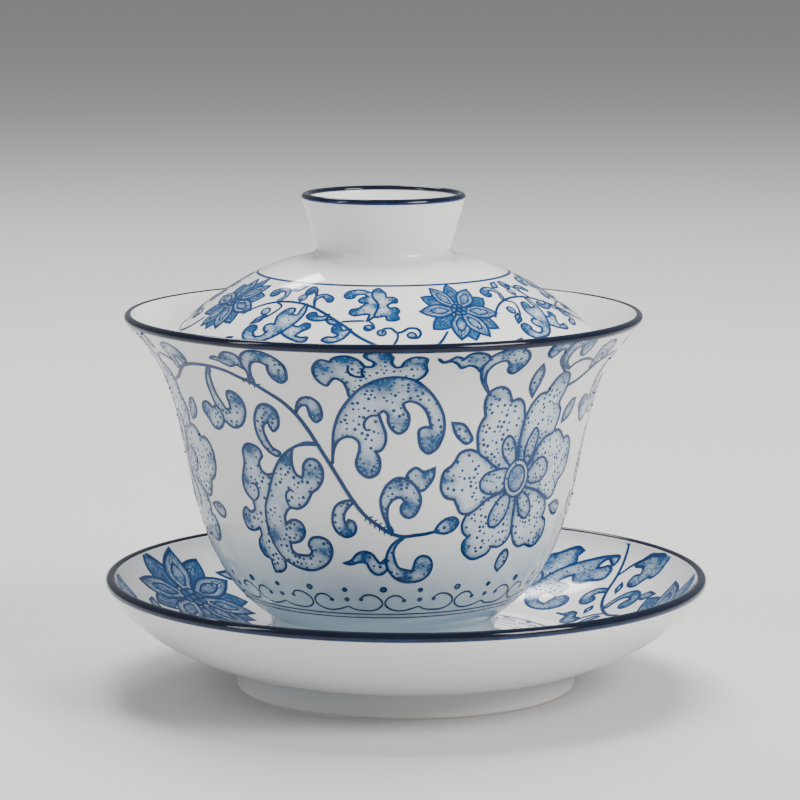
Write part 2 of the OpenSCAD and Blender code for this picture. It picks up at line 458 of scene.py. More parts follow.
# thin solids of one colour laid on a turned surface, gathered into one mesh
class Paint:
    def __init__(self, surface):
        self.surface = surface
        self.points, self.normals, self.faces, self.tone = [], [], [], []
        self.count = 0

    def slab(self, flat, faces, rim, lift, tone):
        top, normal = self.surface.lay(flat, lift)
        bottom, _ = self.surface.lay(flat, -layer["sink"])
        size, base = len(flat), self.count
        self.points += [top, bottom]
        self.normals += [normal, normal]
        self.tone += [tone, tone]
        for face in faces:
            self.faces.append([base + i for i in face])
            self.faces.append([base + size + i for i in reversed(face)])
        for a, b in rim:
            self.faces.append([base + b, base + a, base + size + a, base + size + b])
        self.count += 2 * size

    def ribbon(self, line, width, lift, closed=False, taper=0.0, tone=0.5):
        step = np.roll(line, -1, axis=0) - line
        step[np.linalg.norm(step, axis=1) < 1e-6] = 1e-6
        if not closed:
            step[-1] = step[-2]
        step /= np.linalg.norm(step, axis=1)[:, None]
        before = np.roll(step, 1, axis=0)
        if not closed:
            before[0] = step[0]
        middle = step + before
        middle /= np.maximum(np.linalg.norm(middle, axis=1), 0.3)[:, None]
        side = np.stack([-middle[:, 1], middle[:, 0]], 1)
        share = np.linspace(0, 1, len(line))
        thick = np.full(len(line), width / 2)
        if not closed:
            thick *= 1 - taper * (1 - np.sqrt(np.clip(np.sin(np.pi * share), 0, 1)))
        thick = thick[:, None] / np.maximum((middle * step).sum(1), 0.55)[:, None]
        flat = np.vstack([line + side * thick, line - side * thick])
        size = len(line)
        span = range(size if closed else size - 1)
        faces = [[i, size + i, size + (i + 1) % size, (i + 1) % size] for i in span]
        rim = [(size + i, size + (i + 1) % size) for i in span] + [((i + 1) % size, i) for i in span]
        if not closed:
            rim += [(0, size), (2 * size - 1, size - 1)]
        self.slab(flat, faces, rim, lift, np.full(len(flat), tone))

    def fill(self, outline, lift, tone, edge, spots=(), reach=0.8, load=0.75):
        low, high = outline.min(0), outline.max(0)
        grid = layer["grid"]
        xs, ys = np.arange(low[0], high[0], grid), np.arange(low[1], high[1], grid)
        cells = np.array([[x + (j % 2) * grid / 2, y] for j, y in enumerate(ys) for x in xs]).reshape(-1, 2)
        if len(cells):
            cells = cells[insideOf(outline, cells)]
        if len(cells):
            cells = cells[nearest(cells, outline) > grid * 0.45]
        every = np.vstack([outline, cells])
        ring = [(i, (i + 1) % len(outline)) for i in range(len(outline))]
        found = delaunay_2d_cdt([Vector(p) for p in every], ring, [list(range(len(outline)))], 1, 1e-5)
        flat = np.array([[v[0], v[1]] for v in found[0]])
        faces = [list(face) for face in found[2]]
        if not faces:
            return
        used = {}
        for face in faces:
            for a, b in zip(face, face[1:] + face[:1]):
                used[(a, b)] = used.get((a, b), 0) + 1
        rim = [pair for pair in used if (pair[1], pair[0]) not in used]
        away = nearest(flat, outline)
        shade = tone + edge * np.exp(-(away / reach) ** 2)
        for x, y, size in spots:
            shade = shade + load * np.exp(-((flat[:, 0] - x) ** 2 + (flat[:, 1] - y) ** 2) / size ** 2)
        self.slab(flat, faces, rim, lift, np.clip(shade, 0, 1))


def storeValues(mesh, values):
    for key, value in values.items():
        mesh.attributes.new(key, "FLOAT", "POINT").data.foreach_set("value", np.asarray(value, np.float32))


def meshFrom(name, paint):
    points = np.vstack(paint.points) * mm
    mesh = bpy.data.meshes.new(name)
    mesh.from_pydata(points.tolist(), [], paint.faces)
    normals = np.vstack(paint.normals)
    angle = np.arctan2(points[:, 0] / mm - paint.surface.centreX, -points[:, 1] / mm)
    outward = normals[:, 0] * np.sin(angle) - normals[:, 1] * np.cos(angle)
    storeValues(mesh, dict(tone=np.concatenate(paint.tone), outward=outward, upward=normals[:, 2]))
    return linked(name, mesh)


# Geometry Nodes
# a node tree for a modifier, with named inputs
class Tree:
    def __init__(self, name, inputs):
        self.group = bpy.data.node_groups.new(name, "GeometryNodeTree")
        face = self.group.interface
        face.new_socket("Geometry", in_out="INPUT", socket_type="NodeSocketGeometry")
        for label, kind in inputs.items():
            face.new_socket(label, in_out="INPUT", socket_type="NodeSocket" + kind)
        face.new_socket("Geometry", in_out="OUTPUT", socket_type="NodeSocketGeometry")
        self.source = self.group.nodes.new("NodeGroupInput")

    def node(self, kind, settings=None, sockets=None):
        made = self.group.nodes.new(kind)
        for key, value in (settings or {}).items():
            setattr(made, key, value)
        for key, value in (sockets or {}).items():
            if isinstance(value, bpy.types.NodeSocket):
                self.group.links.new(value, made.inputs[key])
            else:
                made.inputs[key].default_value = value
        return made

    def stored(self, name):
        kind = dict(data_type="FLOAT")
        return self.node("GeometryNodeInputNamedAttribute", kind, {"Name": name}).outputs[0]

    def given(self, label):
        return self.source.outputs[label]

    def sum(self, how, a, b):
        return self.node("ShaderNodeMath", dict(operation=how), {0: a, 1: b}).outputs[0]

    def end(self, geometry):
        flat = self.node("GeometryNodeRealizeInstances", None, {"Geometry": geometry})
        dressed = self.node("GeometryNodeSetMaterial", None,
                            {"Geometry": flat.outputs[0], "Material": self.given("Material")})
        out = self.group.nodes.new("NodeGroupOutput")
        self.group.links.new(dressed.outputs[0], out.inputs[0])

    def apply(self, subject, name, values):
        # runs the tree on subject and returns a new plain object in its place
        modifier = subject.modifiers.new(name, "NODES")
        modifier.node_group = self.group
        keys = {item.name: item.identifier for item in self.group.interface.items_tree
                if item.item_type == "SOCKET" and item.in_out == "INPUT"}
        for label, value in values.items():
            modifier[keys[label]] = value
        graph = bpy.context.evaluated_depsgraph_get()
        mesh = bpy.data.meshes.new_from_object(subject.evaluated_get(graph))
        subject.modifiers.remove(modifier)
        bpy.data.objects.remove(subject)
        mesh.name = name
        return linked(name, mesh)


def makeTurnTree():
    # a grid whose rows take their place from the profile's points, swung about the axis
    tree = Tree("turned", {"Points": "Int", "Segments": "Int", "Centre": "Vector", "Material": "Material"})
    columns = tree.sum("ADD", tree.given("Segments"), 1.0)
    grid = tree.node("GeometryNodeMeshGrid", None,
                     {"Vertices X": tree.given("Points"), "Vertices Y": columns})
    index = tree.node("GeometryNodeInputIndex").outputs[0]
    row = tree.sum("FLOOR", tree.sum("DIVIDE", tree.sum("ADD", index, 0.5), columns), 0.0)
    column = tree.sum("SUBTRACT", index, tree.sum("MULTIPLY", row, columns))
    turn = tree.sum("MULTIPLY", tree.sum("DIVIDE", column, tree.given("Segments")), -2 * math.pi)
    position = tree.node("GeometryNodeInputPosition").outputs[0]
    taken = tree.node("GeometryNodeSampleIndex", dict(data_type="FLOAT_VECTOR", domain="POINT"),
                      {"Geometry": tree.given("Geometry"), "Value": position, "Index": row})
    swung = tree.node("ShaderNodeVectorRotate", dict(rotation_type="Z_AXIS"),
                      {"Vector": taken.outputs[0], "Angle": turn})
    moved = tree.node("ShaderNodeVectorMath", dict(operation="ADD"),
                      {0: swung.outputs[0], 1: tree.given("Centre")})
    placed = tree.node("GeometryNodeSetPosition", None,
                       {"Geometry": grid.outputs["Mesh"], "Position": moved.outputs[0]}).outputs[0]
    for key in ("tint", "bare", "across"):
        value = tree.stored(key)
        sample = tree.node("GeometryNodeSampleIndex", dict(data_type="FLOAT", domain="POINT"),
                           {"Geometry": tree.given("Geometry"), "Value": value, "Index": row})
        placed = tree.node("GeometryNodeStoreNamedAttribute", dict(data_type="FLOAT", domain="POINT"),
                           {"Geometry": placed, "Name": key, "Value": sample.outputs[0]}).outputs[0]
    placed = tree.node("GeometryNodeStoreNamedAttribute", dict(data_type="FLOAT2", domain="CORNER"),
                       {"Geometry": placed, "Name": "OFBake", "Value": grid.outputs["UV Map"]}).outputs[0]
    closed = tree.node("GeometryNodeMergeByDistance", None, {"Geometry": placed, "Distance": 1e-6})
    tree.end(closed.outputs[0])
    return tree


def makeRepeatTree():
    # the same drawn unit again and again round an axis
    tree = Tree("roundRepeat", {"Count": "Int", "Centre": "Vector", "Material": "Material"})
    points = tree.node("GeometryNodePoints", None,
                       {"Count": tree.given("Count"), "Position": tree.given("Centre")})
    index = tree.node("GeometryNodeInputIndex").outputs[0]
    share = tree.sum("DIVIDE", index, tree.given("Count"))
    turn = tree.node("ShaderNodeCombineXYZ", None, {"Z": tree.sum("MULTIPLY", share, 2 * math.pi)})
    back = tree.node("ShaderNodeVectorMath", dict(operation="SCALE"),
                     {0: tree.given("Centre"), "Scale": -1.0})
    centred = tree.node("GeometryNodeTransform", None,
                        {"Geometry": tree.given("Geometry"), "Translation": back.outputs[0]})
    spread = tree.node("GeometryNodeInstanceOnPoints", None,
                       {"Points": points.outputs[0], "Instance": centred.outputs[0],
                        "Rotation": turn.outputs[0]})
    tree.end(spread.outputs[0])
    return tree


dotForm = dict(most=1.6e6, flatness=0.16, least=0.65, greatest=1.25)


def makeStippleTree():
    # brush dots scattered over the upper faces of a wash, lying along them
    tree = Tree("stipple", {"Spacing": "Float", "Size": "Float", "Seed": "Int", "Material": "Material"})
    above = dict(data_type="FLOAT", operation="GREATER_THAN")
    upper = tree.node("FunctionNodeCompare", above, {0: tree.stored("dotted"), 1: 0.99})
    spread = tree.node("GeometryNodeDistributePointsOnFaces", dict(distribute_method="POISSON"),
                       {"Mesh": tree.given("Geometry"), "Selection": upper.outputs[0],
                        "Distance Min": tree.given("Spacing"), "Density Max": dotForm["most"],
                        "Seed": tree.given("Seed")})
    dot = tree.node("GeometryNodeMeshUVSphere", None,
                    {"Segments": 8, "Rings": 4, "Radius": tree.given("Size")})
    pressed = tree.node("GeometryNodeTransform", None,
                        {"Geometry": dot.outputs[0], "Scale": (1, 1, dotForm["flatness"])})
    scale = tree.node("FunctionNodeRandomValue", dict(data_type="FLOAT"),
                      {2: dotForm["least"], 3: dotForm["greatest"], "Seed": tree.given("Seed")})
    placed = tree.node("GeometryNodeInstanceOnPoints", None,
                       {"Points": spread.outputs["Points"], "Instance": pressed.outputs[0],
                        "Rotation": spread.outputs["Rotation"], "Scale": scale.outputs[1]})
    tree.end(placed.outputs[0])
    return tree


turnSegments = 240
turnTree, repeatTree, stippleTree = makeTurnTree(), makeRepeatTree(), makeStippleTree()

look = dict(
    porcelain=porcelainMaterial(),
    line=lineMaterial(),
    wash=washMaterial(),
    dot=dotMaterial(),
    band=bandMaterial(),
)


def finishPiece(made, body, node=None):
    made.data.polygons.foreach_set("use_smooth", [True] * len(made.data.polygons))
    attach(made, body)
    if node:
        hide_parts(node)
    print(made.name, len(made.data.polygons), "faces")
    return made


def turned(name, profile, centreX, baseZ, kind, tint=None, bare=None, across=None):
    # profile runs anticlockwise round the wall's section, in millimetres
    points = [(r * mm, 0, (z + baseZ) * mm) for r, z in profile]
    mesh = bpy.data.meshes.new(name)
    mesh.from_pydata(points, [(i, i + 1) for i in range(len(points) - 1)], [])
    none = np.zeros(len(points))
    given = dict(tint=tint, bare=bare, across=across)
    storeValues(mesh, {key: none if value is None else value for key, value in given.items()})
    raw = linked(name, mesh)
    return turnTree.apply(raw, name, {"Points": len(points), "Segments": turnSegments,
                                      "Centre": (centreX * mm, 0, 0), "Material": look[kind]})


def lit(made, centreX):
    # painted pieces take the glaze's own normals, so that highlights run on across them
    count = len(made.data.vertices)
    place = np.zeros(count * 3)
    made.data.vertices.foreach_get("co", place)
    place = place.reshape(-1, 3)
    outward, upward = np.zeros(count), np.zeros(count)
    made.data.attributes["outward"].data.foreach_get("value", outward)
    made.data.attributes["upward"].data.foreach_get("value", upward)
    angle = np.arctan2(place[:, 0] - centreX * mm, -place[:, 1])
    normals = np.stack([outward * np.sin(angle), -outward * np.cos(angle), upward], 1)
    made.data.polygons.foreach_set("use_smooth", [True] * len(made.data.polygons))
    made.data.normals_split_custom_set_from_vertices(normals.tolist())
    return made


def repeated(name, raw, surface, kind, count):
    values = {"Count": count, "Centre": (surface.centreX * mm, 0, 0), "Material": look[kind]}
    return repeatTree.apply(raw, name, values)


def painted(name, paint, body, kind, count=1):
    surface = paint.surface
    made = repeated(name, meshFrom(name, paint), surface, kind, count)
    lit(made, surface.centreX)
    return finishPiece(made, body)


def stippled(name, paint, body, count, spacing, size, seed):
    # only the upper skin of a wash takes dots, so it is laid again by itself
    raw = meshFrom(name, paint)
    flags = []
    for block in range(0, len(paint.points), 2):
        flags += [1.0] * len(paint.points[block]) + [0.0] * len(paint.points[block + 1])
    storeValues(raw.data, dict(dotted=flags))
    spread = repeated(name, raw, paint.surface, "dot", count)
    values = {"Spacing": spacing * mm, "Size": size * mm, "Seed": seed, "Material": look["dot"]}
    return finishPiece(stippleTree.apply(spread, name, values), body)


# outline, wash and dots that go down together, each shape a layer above the last
class Brush:
    def __init__(self, surface, width=0.56, load=0.75):
        self.lines, self.wash = Paint(surface), Paint(surface)
        self.dots, self.upperDots = Paint(surface), Paint(surface)
        self.width, self.load = width, load

    def patch(self, outline, level=0, tone=0.05, edge=0.5, spots=(), dots=True, width=None, reach=0.8):
        lift = layer["base"] + layer["step"] * level
        self.wash.fill(outline, lift, tone, edge, spots, reach, self.load)
        if dots:
            # what lies over other shapes is dotted by itself, or the shapes under it would take its dots
            (self.upperDots if dots == "upper" else self.dots).fill(outline, lift, tone, edge)
        self.lines.ribbon(outline, width or self.width, lift + layer["line"], True)
        for x, y, size in spots:
            self.hairs(outline, (x, y), size * 1.35, lift + layer["line"])

    def hairs(self, outline, spot, size, lift, length=0.85, gap=3):
        # fine strokes from the outline into the loaded part of a wash
        close = np.linalg.norm(outline - spot, axis=1) < size
        for i in np.flatnonzero(close)[::gap]:
            inward = np.array(spot) - outline[i]
            inward /= max(np.linalg.norm(inward), 1e-6)
            bend = np.array([-inward[1], inward[0]]) * 0.15
            tip = inward * length
            stroke = outline[i] + np.array([[0, 0], tip * 0.5 + bend, tip])
            self.lines.ribbon(stroke, 0.26, lift, False, 0.6)

    def shape(self, text, *how, change=None, **more):
        self.patch(strokeOf(text, True, change=change), *how, **more)

    def stroke(self, text, level=0, width=None, taper=0.5, tone=0.4, change=None):
        line = strokeOf(text, change=change)
        lift = layer["base"] + layer["step"] * level + layer["line"]
        self.lines.ribbon(line, width or self.width, lift, False, taper, tone)

    def blot(self, x, y, wide, high, level=0, tone=0.6):
        turn = np.linspace(0, 2 * np.pi, 20, endpoint=False)
        outline = np.stack([x + wide * np.cos(turn), y + high * np.sin(turn)], 1)
        self.patch(outline, level, tone, 0.2, dots=False, width=self.width * 0.8)


# the vessels
def footRing(size):
    recess, curve = size["recess"], size["round"]
    inner = size["footR"] - size["footW"] - curve
    under = [[0, recess], [inner * 0.5, recess], [inner - size["batter"], recess], [inner, 0]]
    return np.vstack([under, arc([size["footR"] - curve, curve], curve, -90, 0, 6)])


def fade(values, start, end):
    return np.clip((np.asarray(values) - start) / (end - start), 0, 1)


def makeSaucer():
    lip = lipArc(saucer, saucerLip, count=12)
    foot = footRing(saucer)
    profile = np.vstack([foot, saucerOuter, lip[1:-1], saucerInner[::-1],
                         [[20, saucerInner[0][1]], [10, saucerInner[0][1]], [0, saucerInner[0][1]]]])
    bare = fade(profile[:, 1], 0.75, 0.25)
    tint = 0.25 * fade(np.abs(profile[:, 0] - saucer["footTopR"]), 1.6, 0) * (profile[:, 1] < 6)
    made = turned("saucerBody", profile, 0, 0, "porcelain", tint=tint, bare=bare)
    finishPiece(made, "saucer", "saucer")


def makeBowl():
    lip = lipArc(bowl, bowlLip, count=10)
    profile = np.vstack([footRing(bowl), bowlOuter, lip[1:-1], bowlInner[::-1]])
    outerSide = np.arange(len(profile)) < len(bowlOuter) + 9
    height = profile[:, 1]
    bare = fade(height, 0.6, 0.2) * outerSide
    tint = (0.75 * fade(height, 24, 9) * fade(height, 3, 7) + 0.2 * fade(height, 34, 20)) * outerSide
    made = turned("bowlBody", profile, bowlX, bowlZ, "porcelain", tint=tint, bare=bare)
    finishPiece(made, "bowl", "bowl")


def knobProfile():
    top = lidTop[1] + lid["knobH"]
    lip = np.array([lid["mouthR"] - lid["knobLipR"], top - lid["knobLipR"]])
    base = np.array([lid["waistR"], lidTop[1] + lid["fillet"]])
    lean = math.degrees(math.atan2(lip[1] - base[1], lip[0] + lid["knobLipR"] - base[0]))
    bottom = top - lid["knobDepth"]
    bottomR = lid["waistR"] - lid["knobWall"]
    fillet = arc([lid["waistR"] + lid["fillet"], base[1]], lid["fillet"], 270, 180, 8)
    mouth = arc(lip, lid["knobLipR"], lean - 90, 180, 12)
    outside = base + np.linspace(0, 1, 12)[1:-1, None] * (mouth[0] - base)
    cup = arc([bottomR - lid["cupRound"], bottom + lid["cupRound"]], lid["cupRound"], 0, -90, 10)
    inside = mouth[-1] + np.linspace(0, 1, 10)[1:-1, None] * (cup[0] - mouth[-1])
    return fillet, outside, mouth, inside, np.vstack([cup, [[3, bottom], [0, bottom]]])


def makeLid():
    fillet, outside, mouth, inside, cup = knobProfile()
    edge = arc(lidEdge, lid["lipR"], -90 - lid["edgeSlope"], 90 - lid["edgeSlope"], 12)
    profile = np.vstack([lidCeiling[::-1], lidUnder[::-1][1:], edge[1:-1], lidDome, fillet[1:], outside,
                         mouth, inside, cup])
    made = turned("lidBody", profile, bowlX, bowlZ, "porcelain")
    finishPiece(made, "lid", "lid")


def rimBand(name, outer, lip, inner, below, inside, centreX, baseZ, body):
    # a skin of dark glaze that runs from below the lip outside, over it and a little way in
    proud = 0.045
    upTo = along(outer)
    outer = outer[upTo > upTo[-1] - below]
    innerRun = along(inner[::-1])
    inner = inner[::-1][innerRun < inside]
    path = np.vstack([outer[:-1], lip, inner[1:]])
    skin = inset(path, -proud, -proud)
    skin[0], skin[-1] = path[0], path[-1]
    loop = np.vstack([skin, inset(path, 0.08, 0.08)[::-1][1:-1], skin[:1]])
    run = along(path)
    across = 1 - run / run[-1]
    made = turned(name, loop, centreX, baseZ, "band", across=np.r_[across, across[::-1][1:-1], across[:1]])
    finishPiece(made, body)


makeSaucer()
makeBowl()
makeLid()
_, knobOutside, knobMouth, knobInside, _ = knobProfile()
rimBand("saucerRim", saucerOuter, lipArc(saucer, saucerLip, 166), saucerInner, 0.3, 0, 0, 0, "saucer")
rimBand("bowlRim", bowlOuter, lipArc(bowl, bowlLip, 170), bowlInner, 0.6, 0, bowlX, bowlZ, "bowl")
rimBand("knobRim", np.vstack([knobOutside, knobMouth[:1]]), knobMouth,
        np.vstack([knobMouth[-1:], knobInside])[::-1], 0.35, 0.4, bowlX, bowlZ, "lid")
print("vessels made")


# the bowl's painting: unrolled round the bowl, from the crease above its foot
bowlSurface = Turned(bowlOuter, bowlX, bowlZ, 38)
bowlUnits = 3

flowerOnBowl = [
    # each petal in the order it is laid, with the places where the brush was loaded
    ("27.4,31.7 27.5,26.7 27.6,24.7 | 26.8,23.2 25,22.3 23.2,22.5 | 22.5,21.3 21,20.6 19,20.3 "
     "17.3,21.2 16.3,22.5 16.3,24 17.2,25 | 16,26 15.6,27.5 16.2,29.2 17.7,30.7 19.3,32 21.7,32.8 "
     "24,33.6 26,34", [(17, 22.5, 1.2), (25, 30, 2.2)]),
    ("26.7,35 30,33.5 33,32.5 36.3,30.5 | 37.2,29 37.2,27.7 36.8,26.8 | 38.2,26 38.9,24.3 "
     "38.5,22.5 37.2,21.3 35.3,21 33.7,21.5 32.8,21.8 | 31,21.6 29.3,22.5 28.2,24.3 27.5,26.7 "
     "27.3,29.3 27.2,31.7", [(37, 23, 1.2), (29, 31, 2.2)]),
    ("30.3,39.3 31.3,41.2 33,43 35,43.8 37,43.8 38.5,42.7 39.3,41.8 | 40.7,42.1 42.2,41 43,38.7 "
     "42.8,36.3 41.7,34.5 40.3,33.7 | 39.8,32.3 39,30.8 37.7,30.3 36,31 33.7,32.3 31,33.2 29,33.8 "
     "27,35 28,38", [(41.5, 38, 1.2), (31, 37, 2.4)]),
    ("17.5,41.5 15.7,42.2 14,41.7 13,40 12.5,39.3 | 11.2,38.3 10.7,36.3 10.8,34.7 11.8,33.2 "
     "13.5,32.7 | 14.2,31.3 15,30 17,29.8 18,30.3 20.5,32.2 23.5,33.4 26,35 25.2,37.2 23.5,37.5 "
     "21,38.7 19.2,40.2", [(12.3, 36.5, 1.2), (22.5, 35.5, 2.4)]),
    ("26.5,37 26.5,40 26.3,42.7 26.5,46 26.8,48.3 27.7,50.7 29,52.2 30.2,52.3 | 30.7,53.7 "
     "31.3,55.3 32.7,56.5 34.2,55.8 35,54.3 35.2,52 34.7,49.7 34.9,49 | 35.7,48 35.9,46.3 "
     "35.5,44.7 35.2,43.7 33,43 31.3,41.2 30.3,39.3 28,37", [(33, 54.5, 1.2), (29, 41, 2.4)]),
    ("17.8,41.2 17.2,43.3 17,45.7 17.5,47.7 18,48.7 | 17.5,50.7 17.5,52.7 18.3,54.2 19.8,54.7 "
     "21.3,53.8 22.2,52.3 22.7,51.3 | 24,51.7 25.3,50.7 26,49 26.5,47.3 | 26.3,44.7 26.2,42 "
     "26.3,40 26,37.5 23.5,37.5 21,38.7 19.2,40.2", [(19.3, 52.5, 1.2), (24, 41, 2.4)]),
]
innerPetals = [
    "24,39 22.7,41 22.5,43 23.5,44.3 24.7,43.5 25.5,41.7 25.8,39.7 25.6,38",
    "28,39.3 28,41.7 28.7,43.8 29.8,45.2 30.8,44 30.5,41.7 29.7,39.3 28.5,38",
    "29.8,37 31,38.3 33,39.1 34.7,38 35.2,36.3 34,34.7 32,34.2 30,34.7 29.2,36",
    "24.2,37.7 21.7,37.8 19.3,37 18.5,35.7 19,34 21,33.2 23.3,33.5 24.4,35",
    "27.8,31.7 28.3,30 29.3,28 31,27.4 31.9,28.5 31.5,30.3 30.2,32 28.8,32.8",
    "25.7,32.2 25.7,30.3 25,28.3 23.3,26.6 21.8,26.7 21.3,28.3 22.2,30.7 23.8,32.5 25,33",
]
